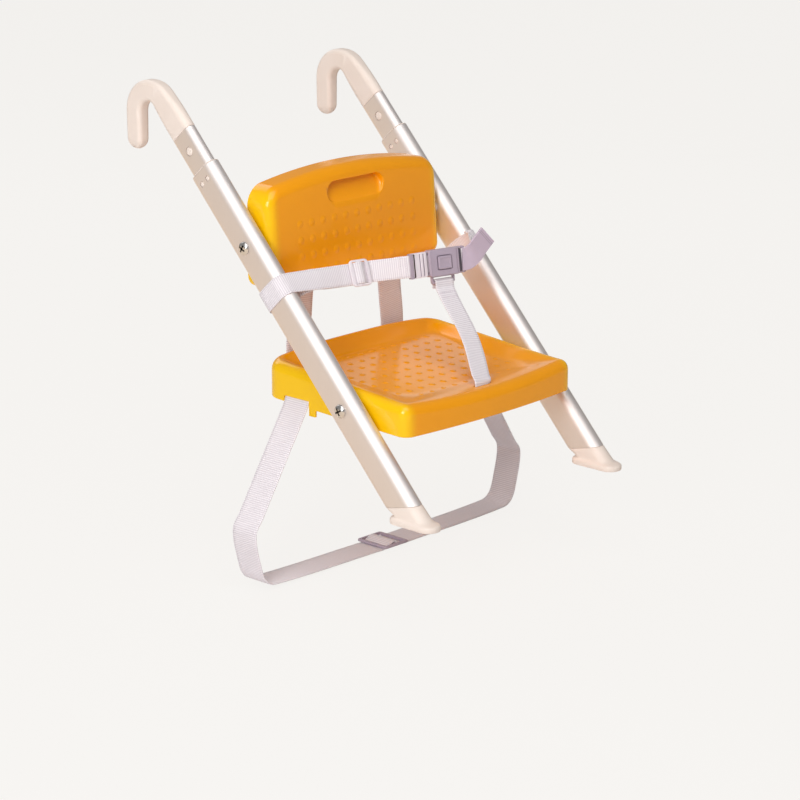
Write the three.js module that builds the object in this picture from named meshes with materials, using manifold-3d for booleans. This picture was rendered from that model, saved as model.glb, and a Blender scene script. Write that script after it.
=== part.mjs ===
// Folding booster seat carried by two sloping tubes that hook over the back of a chair.
// Millimetres, +Z up, the sitter faces -Y. Z = 0 is the plane of the two soles.
import * as THREE from 'three';
import { mergeVertices } from 'three/addons/utils/BufferGeometryUtils.js';
import Module from 'manifold-3d';

const wasm = await Module();
wasm.setup();

// Fits
const CLEAR = 0.3;            // gap left between pieces that touch
const SPIGOT_CLEAR = 0.3;     // gap round a plug inside a tube

// Overall width
const SEAT_W = 284;
const SEAT_GAP = 3;           // seat to tube, filled by a washer
const BACK_NARROW = 1;        // the backrest is narrower than the seat by this on each side

// Tubes
const TUBE_LEAN = 43;         // degrees from upright
const TUBE_Y = 7.5;           // where the tube axis meets the sole plane
const TUBE_W = 22;
const TUBE_X = SEAT_W / 2 + SEAT_GAP + TUBE_W / 2;   // tube centre from the middle plane
const TUBE_D = 42;
const TUBE_WALL = 1.3;
const TUBE_CUT = 27.8;        // lower end, measured along the axis
const TUBE_CUT_LEAN = 30.4;   // degrees the lower end is cut off square
const TUBE_TOP = 483;
const SLEEVE_WALL = 1.1;
const INNER_LESS = 2 * (TUBE_WALL + SPIGOT_CLEAR + SLEEVE_WALL + CLEAR);
const INNER_W = TUBE_W - INNER_LESS;
const INNER_D = TUBE_D - INNER_LESS;
const INNER_WALL = 1.4;
const INNER_SHOWN = 51;       // inner tube standing out of the outer one
const INNER_TOP = TUBE_TOP + INNER_SHOWN;
const PLUG_LOW = TUBE_TOP - 76;
const PLUG_HEAD = 10;
const PLUG_SPIGOT = 14;
const SLEEVE_LENGTH = 36;
const LUG_D = 5.6;
const LUG_DOWN = 14;          // lugs below the top of the outer tube
const LUG_APART = 12;

// Hooks
const HOOK_PIN_DOWN = 23.5;   // pin below the hook joint
const HOOK_PIN_D = 10;
const HOOK_SPIGOT = 37;
const HOOK_STRAIGHT = 49.5;   // straight length before the bend
const HOOK_PLAIN = 12;        // length that keeps the tube's own section
const HOOK_BEND_R = 27;       // bend radius of the centre line
const HOOK_LEG = 45;          // straight leg behind the bend
const HOOK_T = 25;            // thickness over the bend and down the leg
const HOOK_BEND_W = 18;       // the hook is widest over its bend
const HOOK_STEPS = 22;
const END_STEPS = 4;

// Feet
const FOOT_SPIGOT = 34;
const SOLE_FRONT = -24;
const SOLE_REAR = 43;
const SOLE_W = 27.5;
const SOLE_RIM = 6.5;
const HEEL_NOTCH = 2.5;       // height of the step above the rim

// Pivots
const SEAT_PIVOT = 155;       // along the tube axis
const BACK_PIVOT = 376;
const SCREW_D = 6;
const SCREW_HEAD_D = 15.5;
const SCREW_HEAD_H = 4;
const SCREW_TAIL = 2;         // thread left past the nut
const CROSS_W = 1.6;
const CROSS_L = 9;
const CROSS_DEEP = 1.6;
const SPACER_D = 10;
const WASHER_D = 16;
const NUT_AF = 10;
const NUT_H = 5;
const BOSS_D = 16;            // thick place inside each pan round its screw
const BOSS_L = 3;

// Seat
const SEAT_FRONT = 38;
const SEAT_BOW = 8;           // the front edge swells this far forward in the middle
const SEAT_REAR = 262;
const SEAT_LOW = 95;
const SKIRT_SLOPE = 0.035;     // the skirt's lower edge drops towards the front
const SEAT_WALL = 3;
const SEAT_CORNER_FRONT = 12;
const SEAT_CORNER_REAR = 24;
const RIM_FRONT = 128;
const FRONT_SAG = 6;           // the front rim is lower in the middle
const SAG_LENGTH = 60;
const RIM_SIDE = 141;
const RIM_REAR = 151;
const DISH = 120;
const RIM_INSET = 9;          // crest of the rim, in from the outside
const DISH_INSET = 36;        // where the rim has run down into the dish
const NOTCH_H = 10;
const NOTCH_FRONT = 188;
const NOTCH_REAR = 228;
const LUG_FRONT = 178;
const LUG_LOW = 88;
const REAR_RISE = 214;        // the rim starts to climb to the rear here
const STRAP_HOLE_Z = 106;     // slots for the back straps in the rear wall
const CORNER_MIN = 3;
const ARC_STEPS = 4;
const EDGE_STEPS = 7;

// Backrest
const BACK_W = SEAT_W - 2 * BACK_NARROW;
const BACK_TOP = 351;
const BACK_TOP_SIDE = 337;    // height of the arched top near its corners
const BACK_LOW = 222;
const BACK_FRONT = 247.5;
const BACK_REAR = 286;
const BACK_WALL = 3;
const BACK_ROUND = 12;        // radius of the front edge
const BACK_LEAN = 4;          // degrees the front face leans
const BACK_CORNER_TOP = 20;
const BACK_CORNER_LOW = 14;
const GRIP_W = 92;
const GRIP_H = 24;
const GRIP_Z = 322;
const GRIP_DEEP = 12;

// Webbing
const BELT_W = 25;
const BELT_T = 1.4;
const WIDE_W = 38;
const WIDE_T = 1.6;
const BELT_T_ON_TUBE = 312;   // where the waist belt goes round the tubes
const STRAP_X_LOW = SEAT_W / 2 - 63;   // back straps at the seat
const STRAP_X_TOP = STRAP_X_LOW - 7;   // and at the backrest
const STRAP_Y = 268;          // back straps hang in this plane
const ANCHOR_Y = 208;
const ANCHOR_LOW = -100;
const CROTCH_Y = 51;
const SLOT_T = 4;             // slot made for a strap
const BAR_D = 5;              // bars the straps are sewn round
const SEWN = 14;              // length folded back and sewn
const STRAP_JOIN_Z = 182;     // where the two lengths of a back strap meet
const ANCHOR_OUT = SEAT_W / 2 + 84;    // the anchor strap's widest place
const ANCHOR_OUT_Z = -35;
const ANCHOR_CORNER = 14;
const ANCHOR_LOW_X = ANCHOR_OUT - 15;
const TAB_L = 35;             // free end of the right belt
const TAB_TURN = -10;         // it sticks out forwards and up, degrees
const TAB_RISE = 44;
const CROTCH_BOW = 7;         // slack in the crotch strap
const LEFT_LEAD = 6;          // degrees past the front of the tube where the belt meets it
const LEFT_LEAVE = 27;        // degrees past the back of the tube where it leaves
const RIGHT_LEAD = -28;
const RIGHT_LEAVE = 64;
const TURN_STEPS = 6;
const RUN_STEPS = 16;

// Buckle
const BUCKLE_X = 33;
const BUCKLE_Y = 144.5;
const BUCKLE_Z = 244.5;
const BUCKLE_TURN = -14;      // degrees about Z
const BUCKLE_LEAN = 10;       // degrees the top leans back
const BUCKLE_L = 41;
const BUCKLE_H = 31;
const BUCKLE_T = 12;
const BUTTON_L = 18;
const BUTTON_H = 15;
const BUTTON_PROUD = 1.5;
const SHELL_T = 2.4;          // wall of the buckle halves
const TONGUE_L = 25;
const TONGUE_H = 29;
const TONGUE_T = 3;
const SLIDER_L = 26;
const SLIDER_H = 31;
const SLIDER_T = 2.4;
const SLIDER_BAR = 4;
const SLIDER_X = -59.5;
const SLIDER_Y = 186;
const SLIDER_Z = 241;
const SLIDER_LEAN = 23;
const SLIDER_TURN = -13;
const LOCK_L = 13;            // slotted frame beside the buckle
const LOCK_BAR = 4;
const LOOP_DROP = 9;          // loop below the buckle
const LOOP_BAR = 3.5;
const ADJUST_L = 40;
const ADJUST_T = 3;
const ADJUST_RAIL = 5;

const part = new THREE.Group();
part.name = 'hook_over_booster_seat';
const rad = THREE.MathUtils.degToRad;
const vec = (x, y, z) => new THREE.Vector3(x, y, z);
const clamp01 = (v) => Math.min(1, Math.max(0, v));
const ease = (v) => clamp01(v) ** 2 * (3 - 2 * clamp01(v));

const FINISH = {
  aluminium: [0xcfc6ba, 0.32, 0.9],
  pale: [0xe2d3cd, 0.45, 0],
  orange: [0xf0a512, 0.35, 0],
  chrome: [0xd9dadd, 0.16, 1],
  steel: [0xb4b6b8, 0.4, 1],
  nylon: [0xe9e7e2, 0.55, 0],
  webbing: [0xd8d3e2, 0.85, 0],
  buckle: [0xaca7ba, 0.45, 0],
  fitting: [0xe0dce6, 0.42, 0],
};

function add(name, geometry, finish) {
  const [color, roughness, metalness] = FINISH[finish];
  const mesh = new THREE.Mesh(geometry, new THREE.MeshStandardMaterial({ color, roughness, metalness }));
  mesh.name = name;
  part.add(mesh);
}

// Closed skin over a row of rings; the two end rings are capped, or joined to each other when looped
function skin(rings, looped = false) {
  const n = rings[0].length;
  const rows = rings.length;
  const pos = [];
  const idx = [];
  rings.forEach((ring) => ring.forEach((p) => pos.push(p.x, p.y, p.z)));
  for (let i = 0; i < (looped ? rows : rows - 1); i++) {
    for (let j = 0; j < n; j++) {
      const k = (j + 1) % n;
      const next = ((i + 1) % rows) * n;
      idx.push(i * n + j, i * n + k, next + k, i * n + j, next + k, next + j);
    }
  }
  if (!looped) {
    for (const row of [0, rows - 1]) {
      const mid = vec(0, 0, 0);
      rings[row].forEach((p) => mid.addScaledVector(p, 1 / n));
      const tip = pos.length / 3;
      pos.push(mid.x, mid.y, mid.z);
      for (let j = 0; j < n; j++) {
        const pair = [row * n + j, row * n + (j + 1) % n];
        if (row === 0) pair.reverse();
        idx.push(tip, ...pair);
      }
    }
  }
  let volume = 0;
  const at = (i) => vec(pos[3 * i], pos[3 * i + 1], pos[3 * i + 2]);
  for (let i = 0; i < idx.length; i += 3) {
    volume += at(idx[i]).dot(at(idx[i + 1]).cross(at(idx[i + 2])));
  }
  if (volume < 0) idx.reverse();
  const geometry = new THREE.BufferGeometry();
  geometry.setAttribute('position', new THREE.Float32BufferAttribute(pos, 3));
  geometry.setIndex(idx);
  geometry.computeVertexNormals();
  return geometry;
}

function solid(geometry) {
  const bare = geometry.clone();
  bare.deleteAttribute('normal');
  bare.deleteAttribute('uv');
  const merged = mergeVertices(bare, 1e-4);
  return new wasm.Manifold(new wasm.Mesh({
    numProp: 3,
    vertProperties: new Float32Array(merged.attributes.position.array),
    triVerts: new Uint32Array(merged.index.array),
  }));
}

function shaped(body) {
  const mesh = body.getMesh();
  const geometry = new THREE.BufferGeometry();
  geometry.setAttribute('position', new THREE.Float32BufferAttribute(mesh.vertProperties, 3));
  geometry.setIndex(Array.from(mesh.triVerts));
  geometry.computeVertexNormals();
  return geometry;
}

const cut = (geometry, ...tools) => shaped(tools
  .reduce((s, t) => s.subtract(solid(t)), solid(geometry)));
const join = (geometry, ...more) => shaped(more.reduce((s, t) => s.add(solid(t)), solid(geometry)));

const box = (x0, x1, y0, y1, z0, z1) => new THREE.BoxGeometry(x1 - x0, y1 - y0, z1 - z0)
  .translate((x0 + x1) / 2, (y0 + y1) / 2, (z0 + z1) / 2);

// Round body along X from a profile of [radius, x]; looped profiles give a ring with a bore
function turned(profile, looped = false, steps = 24) {
  return skin(profile.map(([r, x]) => Array.from({ length: steps }, (_, i) => {
    const a = (i / steps) * 2 * Math.PI;
    return vec(x, r * Math.cos(a), r * Math.sin(a));
  })), looped);
}

const rod = (d, x0, x1, steps = 24) => turned([[d / 2, x0], [d / 2, x1]], false, steps);

// Flat-sided oval outline, width along X and depth along Y
function oval(width, depth, steps = 7) {
  const r = Math.min(width, depth) / 2;
  const out = [];
  for (const end of [1, -1]) {
    for (let i = 0; i <= steps; i++) {
      const a = (i / steps + (end > 0 ? 0 : 1)) * Math.PI;
      out.push([(width / 2) * Math.cos(a), end * (depth / 2 - r) + r * Math.sin(a)]);
    }
  }
  return out;
}

const ovalRing = (width, depth, height, slope = 0) => oval(width, depth)
  .map(([x, y]) => vec(x, y, height + slope * y));

// Strap along a row of [point, width direction]; the section is a thin flat rectangle
function strap(path, width, thick, looped = false) {
  const n = path.length;
  return skin(path.map(([p, across], i) => {
    const before = path[looped ? (i + n - 1) % n : Math.max(i - 1, 0)][0];
    const after = path[looped ? (i + 1) % n : Math.min(i + 1, n - 1)][0];
    const w = across.clone().normalize();
    const flat = after.clone().sub(before).cross(w).normalize().multiplyScalar(thick / 2);
    w.multiplyScalar(width / 2);
    return [[1, 1], [-1, 1], [-1, -1], [1, -1]].map(([a, b]) => p.clone().addScaledVector(w, a)
      .addScaledVector(flat, b));
  }), looped);
}

const onTube = (side) => new THREE.Matrix4().makeTranslation(side * TUBE_X, TUBE_Y, 0)
  .multiply(new THREE.Matrix4().makeRotationX(-rad(TUBE_LEAN)));
const tubePoint = (x, along, front) => vec(
  x,
  TUBE_Y + Math.sin(rad(TUBE_LEAN)) * along - Math.cos(rad(TUBE_LEAN)) * front,
  Math.cos(rad(TUBE_LEAN)) * along + Math.sin(rad(TUBE_LEAN)) * front,
);
const SIDES = [['left', -1], ['right', 1]];
const HOLE_D = SCREW_D + 2 * CLEAR;
const CUT_SLOPE = Math.tan(rad(TUBE_CUT_LEAN));
const BORE_W = TUBE_W - 2 * TUBE_WALL;
const BORE_D = TUBE_D - 2 * TUBE_WALL;

// Tubes, sleeves, plugs and hooks
const SLEEVE_TOP = TUBE_TOP - CLEAR;
const LUG_Z = TUBE_TOP - LUG_DOWN;
const PIN_Z = INNER_TOP - HOOK_PIN_DOWN;
const lugRods = (d, half) => [-1, 1].map((k) => rod(d, -half, half, 16)
  .translate(0, (k * LUG_APART) / 2, LUG_Z));
const sleeveBore = () => skin([
  ovalRing(INNER_W + 2 * CLEAR, INNER_D + 2 * CLEAR, SLEEVE_TOP - SLEEVE_LENGTH - 1),
  ovalRing(INNER_W + 2 * CLEAR, INNER_D + 2 * CLEAR, SLEEVE_TOP + 1),
]);

// Hook: straight on from the tube, round a bend and down, thinning towards the bend
const SPIGOT_W = INNER_W - 2 * INNER_WALL - 2 * SPIGOT_CLEAR;
const SPIGOT_D = INNER_D - 2 * INNER_WALL - 2 * SPIGOT_CLEAR;

function hookLine() {
  const turn = rad(180 - TUBE_LEAN);
  const bendEnd = HOOK_STRAIGHT + HOOK_BEND_R * turn;
  const length = bendEnd + HOOK_LEG;
  const stops = [];
  for (let i = 0; i <= HOOK_STEPS; i++) stops.push((i / HOOK_STEPS) * (length - HOOK_T / 2));
  for (let i = 1; i <= END_STEPS; i++) {
    stops.push(length - HOOK_T / 2 + (HOOK_T / 2) * Math.sin((i / (END_STEPS + 0.5)) * (Math.PI / 2)));
  }
  return stops.map((s) => {
    const a = Math.min(Math.max(s - HOOK_STRAIGHT, 0) / HOOK_BEND_R, turn);
    const rest = Math.max(s - bendEnd, 0);
    const along = Math.min(s, HOOK_STRAIGHT) + HOOK_BEND_R * Math.sin(a) + rest * Math.cos(turn);
    const front = -HOOK_BEND_R * (1 - Math.cos(a)) - rest * Math.sin(turn);
    const bend = Math.sin(Math.PI * clamp01(s / length));
    const close = clamp01((s - length + HOOK_T / 2) / (HOOK_T / 2));
    const round = Math.sqrt(1 - close * close);
    const thick = INNER_D + (HOOK_T - INNER_D) * ease((s - HOOK_PLAIN) / (HOOK_STRAIGHT + HOOK_BEND_R / 2));
    const wide = INNER_W + (HOOK_BEND_W - INNER_W) * bend;
    return { along, front, a, thick: thick * round, wide: wide * round };
  });
}

function hookBody() {
  const rings = [
    ovalRing(SPIGOT_W, SPIGOT_D, INNER_TOP - HOOK_SPIGOT), ovalRing(SPIGOT_W, SPIGOT_D, INNER_TOP + CLEAR),
  ];
  hookLine().forEach(({ along, front, a, thick, wide }, i) => {
    const lift = i === 0 ? CLEAR : 0;
    rings.push(oval(wide, thick).map(([x, y]) => vec(
      x, -front + y * Math.cos(a), INNER_TOP + along + lift - y * Math.sin(a),
    )));
  });
  return skin(rings);
}

for (const [name, side] of SIDES) {
  const place = onTube(side);
  const crossHole = (along) => rod(HOLE_D, -TUBE_W, TUBE_W).translate(0, 0, along);
  add(`${name}_outer_tube`, cut(
    skin([
      ovalRing(TUBE_W, TUBE_D, TUBE_CUT, CUT_SLOPE), ovalRing(TUBE_W, TUBE_D, TUBE_TOP),
      ovalRing(BORE_W, BORE_D, TUBE_TOP), ovalRing(BORE_W, BORE_D, TUBE_CUT, CUT_SLOPE),
    ], true),
    crossHole(SEAT_PIVOT), crossHole(BACK_PIVOT), ...lugRods(LUG_D + 2 * CLEAR, TUBE_W),
  ).applyMatrix4(place), 'aluminium');

  add(`${name}_guide_sleeve`, cut(join(
    skin([
      ovalRing(BORE_W - 2 * SPIGOT_CLEAR, BORE_D - 2 * SPIGOT_CLEAR, SLEEVE_TOP - SLEEVE_LENGTH),
      ovalRing(BORE_W - 2 * SPIGOT_CLEAR, BORE_D - 2 * SPIGOT_CLEAR, SLEEVE_TOP),
    ]),
    ...lugRods(LUG_D, TUBE_W / 2 + CLEAR),
  ), sleeveBore()).applyMatrix4(place), 'pale');

  add(`${name}_inner_tube`, cut(
    skin([
      ovalRing(INNER_W, INNER_D, PLUG_LOW + PLUG_HEAD + CLEAR), ovalRing(INNER_W, INNER_D, INNER_TOP),
      ovalRing(INNER_W - 2 * INNER_WALL, INNER_D - 2 * INNER_WALL, INNER_TOP),
      ovalRing(INNER_W - 2 * INNER_WALL, INNER_D - 2 * INNER_WALL, PLUG_LOW + PLUG_HEAD + CLEAR),
    ], true),
    rod(HOOK_PIN_D + 2 * CLEAR, -TUBE_W, TUBE_W).translate(0, 0, PIN_Z),
  ).applyMatrix4(place), 'aluminium');

  add(`${name}_inner_plug`, skin([
    ovalRing(BORE_W - 2 * SPIGOT_CLEAR, BORE_D - 2 * SPIGOT_CLEAR, PLUG_LOW),
    ovalRing(BORE_W - 2 * SPIGOT_CLEAR, BORE_D - 2 * SPIGOT_CLEAR, PLUG_LOW + PLUG_HEAD),
    ovalRing(SPIGOT_W, SPIGOT_D, PLUG_LOW + PLUG_HEAD),
    ovalRing(SPIGOT_W, SPIGOT_D, PLUG_LOW + PLUG_HEAD + PLUG_SPIGOT),
  ]).applyMatrix4(place), 'nylon');

  add(`${name}_hook`, cut(
    hookBody(), rod(HOOK_PIN_D + 2 * CLEAR, -TUBE_W, TUBE_W).translate(0, 0, PIN_Z),
  ).applyMatrix4(place), 'pale');

  const pinHalf = INNER_W / 2 + CLEAR;
  add(`${name}_hook_pin`, turned([
    [HOOK_PIN_D / 2 - 0.8, -pinHalf], [HOOK_PIN_D / 2, -pinHalf + 0.5],
    [HOOK_PIN_D / 2, pinHalf - 0.5], [HOOK_PIN_D / 2 - 0.8, pinHalf],
  ]).translate(0, 0, PIN_Z).applyMatrix4(place), 'pale');
}

// Feet: a plug in the tube, a neck in line with it and a flared flat sole
for (const [name, side] of SIDES) {
  const place = onTube(side);
  const slanted = (width, depth, along) => ovalRing(width, depth, along, CUT_SLOPE)
    .map((p) => p.applyMatrix4(place));
  const level = (width, front, rear, height) => ovalRing(width, rear - front, height)
    .map((p) => p.add(vec(side * TUBE_X, (front + rear) / 2, 0)));
  add(`${name}_foot`, skin([
    slanted(BORE_W - 2 * SPIGOT_CLEAR, BORE_D - 2 * SPIGOT_CLEAR, TUBE_CUT + FOOT_SPIGOT),
    slanted(BORE_W - 2 * SPIGOT_CLEAR, BORE_D - 2 * SPIGOT_CLEAR, TUBE_CUT - CLEAR),
    slanted(TUBE_W, TUBE_D, TUBE_CUT - CLEAR),
    level(TUBE_W + 0.6, SOLE_FRONT + 11, SOLE_REAR - 6, SOLE_RIM + HEEL_NOTCH),
    level(SOLE_W - 1.4, SOLE_FRONT + 1.6, SOLE_REAR - 1.2, SOLE_RIM),
    level(SOLE_W, SOLE_FRONT, SOLE_REAR, SOLE_RIM - 1.2),
    level(SOLE_W, SOLE_FRONT, SOLE_REAR, 0.8),
    level(SOLE_W - 1.6, SOLE_FRONT + 0.8, SOLE_REAR - 0.8, 0),
  ]), 'pale');
}

// Pivot screws with their spacers, washers and lock nuts; drawn along X from the tube centre outwards
for (const [name, side] of SIDES) {
  for (const [what, along, half, wall] of [
    ['seat', SEAT_PIVOT, SEAT_W / 2, SEAT_WALL], ['back', BACK_PIVOT, BACK_W / 2, BACK_WALL],
  ]) {
    const at = tubePoint(side * TUBE_X, along, 0);
    const place = new THREE.Matrix4().makeTranslation(at.x, at.y, at.z)
      .multiply(new THREE.Matrix4().makeRotationZ(side > 0 ? 0 : Math.PI));
    const face = TUBE_W / 2 + CLEAR;
    const pan = half - TUBE_X;
    const nut = pan - wall - BOSS_L - CLEAR;
    const r = SCREW_D / 2;
    const headR = SCREW_HEAD_D / 2;
    const top = face + SCREW_HEAD_H;
    add(`${name}_${what}_screw`, cut(
      turned([
        [r * 0.8, nut - NUT_H - SCREW_TAIL], [r, nut - NUT_H - SCREW_TAIL + r * 0.2], [r, face],
        [headR * 0.96, face], [headR, face + SCREW_HEAD_H * 0.2], [headR * 0.86, face + SCREW_HEAD_H * 0.62],
        [headR * 0.58, face + SCREW_HEAD_H * 0.9], [headR * 0.25, top],
      ]),
      box(top - CROSS_DEEP, top + 1, -CROSS_L / 2, CROSS_L / 2, -CROSS_W / 2, CROSS_W / 2),
      box(top - CROSS_DEEP, top + 1, -CROSS_W / 2, CROSS_W / 2, -CROSS_L / 2, CROSS_L / 2),
    ).applyMatrix4(place), 'chrome');
    const bored = (d, x0, x1) => turned([
      [d / 2, x0], [d / 2, x1], [HOLE_D / 2, x1], [HOLE_D / 2, x0],
    ], true).applyMatrix4(place);
    add(`${name}_${what}_spacer`, bored(SPACER_D, CLEAR - BORE_W / 2, BORE_W / 2 - CLEAR), 'steel');
    add(`${name}_${what}_washer`, bored(WASHER_D, pan + CLEAR, -TUBE_W / 2 - CLEAR), 'nylon');
    add(`${name}_${what}_nut`, cut(
      rod(NUT_AF / Math.cos(Math.PI / 6), nut - NUT_H, nut, 6), rod(HOLE_D, nut - NUT_H - 1, nut + 1),
    ).applyMatrix4(place), 'steel');
  }
}

// Rounded rectangle as [u, v] points, with one corner radius for the low edge and one for the high edge
function plate(half, low, high, rLow, rHigh) {
  const corners = [
    [half - rLow, low + rLow, rLow], [half - rHigh, high - rHigh, rHigh],
    [rHigh - half, high - rHigh, rHigh], [rLow - half, low + rLow, rLow],
  ];
  const out = [];
  corners.forEach(([u, v, r], k) => {
    for (let i = 0; i <= ARC_STEPS; i++) {
      const a = ((k - 1 + i / ARC_STEPS) * Math.PI) / 2;
      out.push([u + r * Math.cos(a), v + r * Math.sin(a)]);
    }
    const [nu, nv, nr] = corners[(k + 1) % corners.length];
    const a = (k * Math.PI) / 2;
    const from = out[out.length - 1];
    const to = [nu + nr * Math.cos(a), nv + nr * Math.sin(a)];
    for (let i = 1; i < EDGE_STEPS; i++) {
      out.push(from.map((c, j) => c + ((to[j] - c) * i) / EDGE_STEPS));
    }
  });
  return out;
}

// Thin pan as rings of [inset, drop]: face, rounded edge, outer side, inner side, rounded edge, back of face
function panRings(insets, round, wall, ring, rim) {
  const quarter = Array.from({ length: ARC_STEPS + 1 }, (_, i) => (i / ARC_STEPS) * (Math.PI / 2));
  const face = insets.map((inset) => ring(inset, 0));
  const edge = quarter.map((a) => ring(round * (1 - Math.sin(a)), round * (1 - Math.cos(a))));
  const inner = round - wall;
  const inside = quarter.map((a) => ring(round - inner * Math.sin(a), round - inner * Math.cos(a)));
  const back = insets.map((inset) => ring(inset, wall));
  return [...face, ...edge, rim(0), rim(wall), ...inside.reverse(), ...back.reverse()];
}

// Seat: a dished pan, open underneath
const SEAT_HALF = SEAT_W / 2;
const SEAT_MID = (SEAT_FRONT + SEAT_REAR) / 2;
const seatAt = tubePoint(0, SEAT_PIVOT, 0);
const backAt = tubePoint(0, BACK_PIVOT, 0);

function seatPlan(inset) {
  const r = (corner) => Math.max(corner - inset, CORNER_MIN);
  return plate(SEAT_HALF - inset, SEAT_FRONT + inset, SEAT_REAR - inset, r(SEAT_CORNER_FRONT),
    r(SEAT_CORNER_REAR)).map(([x, y]) => [x, y - SEAT_BOW * (1 - (x / SEAT_HALF) ** 2)
    * clamp01((SEAT_MID - y) / (SEAT_MID - SEAT_FRONT))]);
}

function seatTop(inset, x, y) {
  const side = ease((y - SEAT_FRONT) / (SEAT_REAR - SEAT_FRONT));
  const rear = ease((y - REAR_RISE) / (SEAT_REAR - REAR_RISE)) * (1 - Math.abs(x / SEAT_HALF) ** 3);
  const sag = FRONT_SAG * (1 - (x / SEAT_HALF) ** 2) * (1 - ease((y - SEAT_FRONT) / SAG_LENGTH));
  const rim = RIM_FRONT - sag + (RIM_SIDE - RIM_FRONT) * side + (RIM_REAR - RIM_SIDE) * rear;
  return rim + (DISH - rim) * ease((inset - RIM_INSET) / (DISH_INSET - RIM_INSET));
}

const boss = (half, wall, at, side) => rod(BOSS_D, half - wall - BOSS_L, half - wall / 2)
  .applyMatrix4(new THREE.Matrix4().makeRotationZ(side > 0 ? 0 : Math.PI)).translate(0, at.y, at.z);
const dishInsets = [0.73, 0.5, 0.26, 0.2, 0.14].map((k) => k * SEAT_HALF);
const lug = (side) => box(
  -SEAT_WALL / 2, SEAT_WALL / 2, LUG_FRONT, NOTCH_FRONT, LUG_LOW, SEAT_LOW + SEAT_WALL,
).translate(side * (SEAT_HALF - SEAT_WALL / 2), 0, 0);
const strapSlot = (side) => box(-WIDE_W / 2 - 1, WIDE_W / 2 + 1, SEAT_REAR - 3 * SEAT_WALL, SEAT_REAR + 1,
  STRAP_HOLE_Z - SLOT_T / 2, STRAP_HOLE_Z + SLOT_T).translate(side * STRAP_X_LOW, 0, 0);
add('seat_shell', cut(
  join(
    skin(panRings(
      dishInsets, RIM_INSET, SEAT_WALL,
      (inset, drop) => seatPlan(inset).map(([x, y]) => vec(x, y, seatTop(inset, x, y) - drop)),
      (inset) => seatPlan(inset).map(([x, y]) => vec(x, y, SEAT_LOW + SKIRT_SLOPE * (y - SEAT_MID))),
    )),
    ...[-1, 1].map((side) => boss(SEAT_HALF, SEAT_WALL, seatAt, side)), ...[-1, 1].map(lug),
  ),
  rod(HOLE_D, -SEAT_W, SEAT_W).translate(0, seatAt.y, seatAt.z),
  box(-SEAT_W, SEAT_W, NOTCH_FRONT, NOTCH_REAR, SEAT_LOW - 1, SEAT_LOW + NOTCH_H),
  box(-BELT_W / 2 - 1, BELT_W / 2 + 1, CROTCH_Y - SLOT_T / 2, CROTCH_Y + SLOT_T / 2, SEAT_LOW, RIM_REAR),
  ...[-1, 1].map(strapSlot),
), 'orange');

// Backrest: a pan open at the rear with a blind grip scoop
const BACK_HALF = BACK_W / 2;
const BACK_MID = (BACK_LOW + BACK_TOP_SIDE) / 2;
const backFace = (z) => BACK_FRONT + Math.tan(rad(BACK_LEAN)) * (z - BACK_MID);

function backPlan(inset) {
  const r = (corner) => Math.max(corner - inset, CORNER_MIN);
  return plate(BACK_HALF - inset, BACK_LOW + inset, BACK_TOP_SIDE - inset, r(BACK_CORNER_LOW),
    r(BACK_CORNER_TOP)).map(([x, z]) => [x, z + (BACK_TOP - BACK_TOP_SIDE) * (1 - (x / BACK_HALF) ** 2)
    * clamp01((z - BACK_MID) / (BACK_TOP_SIDE - BACK_MID))]);
}

function scoop(grow, from, deep) {
  const ring = (shrink, up, depth) => oval(GRIP_H - shrink + 2 * grow, GRIP_W - shrink + 2 * grow)
    .map(([z, x]) => vec(x, backFace(GRIP_Z) + depth, GRIP_Z + up + z));
  return skin([ring(0, 0, from), ring(0, 0, GRIP_DEEP * 0.2), ring(GRIP_H * 0.4, GRIP_H * 0.16, deep)]);
}

const backSlot = (side) => box(-WIDE_W / 2 - 1, WIDE_W / 2 + 1, STRAP_Y - SLOT_T / 2, STRAP_Y + SLOT_T / 2,
  BACK_LOW - 1, BACK_LOW + 2 * BACK_WALL).translate(side * STRAP_X_TOP, 0, 0);
const faceInsets = [0.4, 0.28, 0.18].map((k) => k * BACK_HALF);
add('backrest_shell', cut(
  join(
    skin(panRings(
      faceInsets, BACK_ROUND, BACK_WALL,
      (inset, drop) => backPlan(inset).map(([x, z]) => vec(x, backFace(z) + drop, z)),
      (inset) => backPlan(inset).map(([x, z]) => vec(x, BACK_REAR, z)),
    )),
    scoop(BACK_WALL, BACK_WALL / 2, GRIP_DEEP + BACK_WALL),
    ...[-1, 1].map((side) => boss(BACK_HALF, BACK_WALL, backAt, side)),
  ),
  scoop(0, -BACK_WALL, GRIP_DEEP),
  rod(HOLE_D, -BACK_W, BACK_W).translate(0, backAt.y, backAt.z), ...[-1, 1].map(backSlot),
), 'orange');

// Straps are rows of [point, width direction]
const UP = vec(0, 0, 1);
const ACROSS = vec(1, 0, 0);
const TUBE_DIR = tubePoint(0, 1, 0).sub(tubePoint(0, 0, 0));
const flatFrame = (x, y, z, turn, lean) => new THREE.Matrix4().makeTranslation(x, y, z)
  .multiply(new THREE.Matrix4().makeRotationZ(rad(turn)))
  .multiply(new THREE.Matrix4().makeRotationX(-rad(lean)));
const smooth = (points, steps, closed = false) => new THREE.CatmullRomCurve3(points, closed, 'centripetal')
  .getPoints(steps);
const slack = BELT_T / 2 + CLEAR;

// U-turn of a strap round a bar: centre, first and second directions, radius to the strap's middle
function uTurn(centre, from, over, radius, start = 0, end = Math.PI) {
  return Array.from({ length: TURN_STEPS + 1 }, (_, i) => {
    const a = start + ((end - start) * i) / TURN_STEPS;
    return centre.clone().addScaledVector(from, radius * Math.cos(a))
      .addScaledVector(over, radius * Math.sin(a));
  });
}

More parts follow.
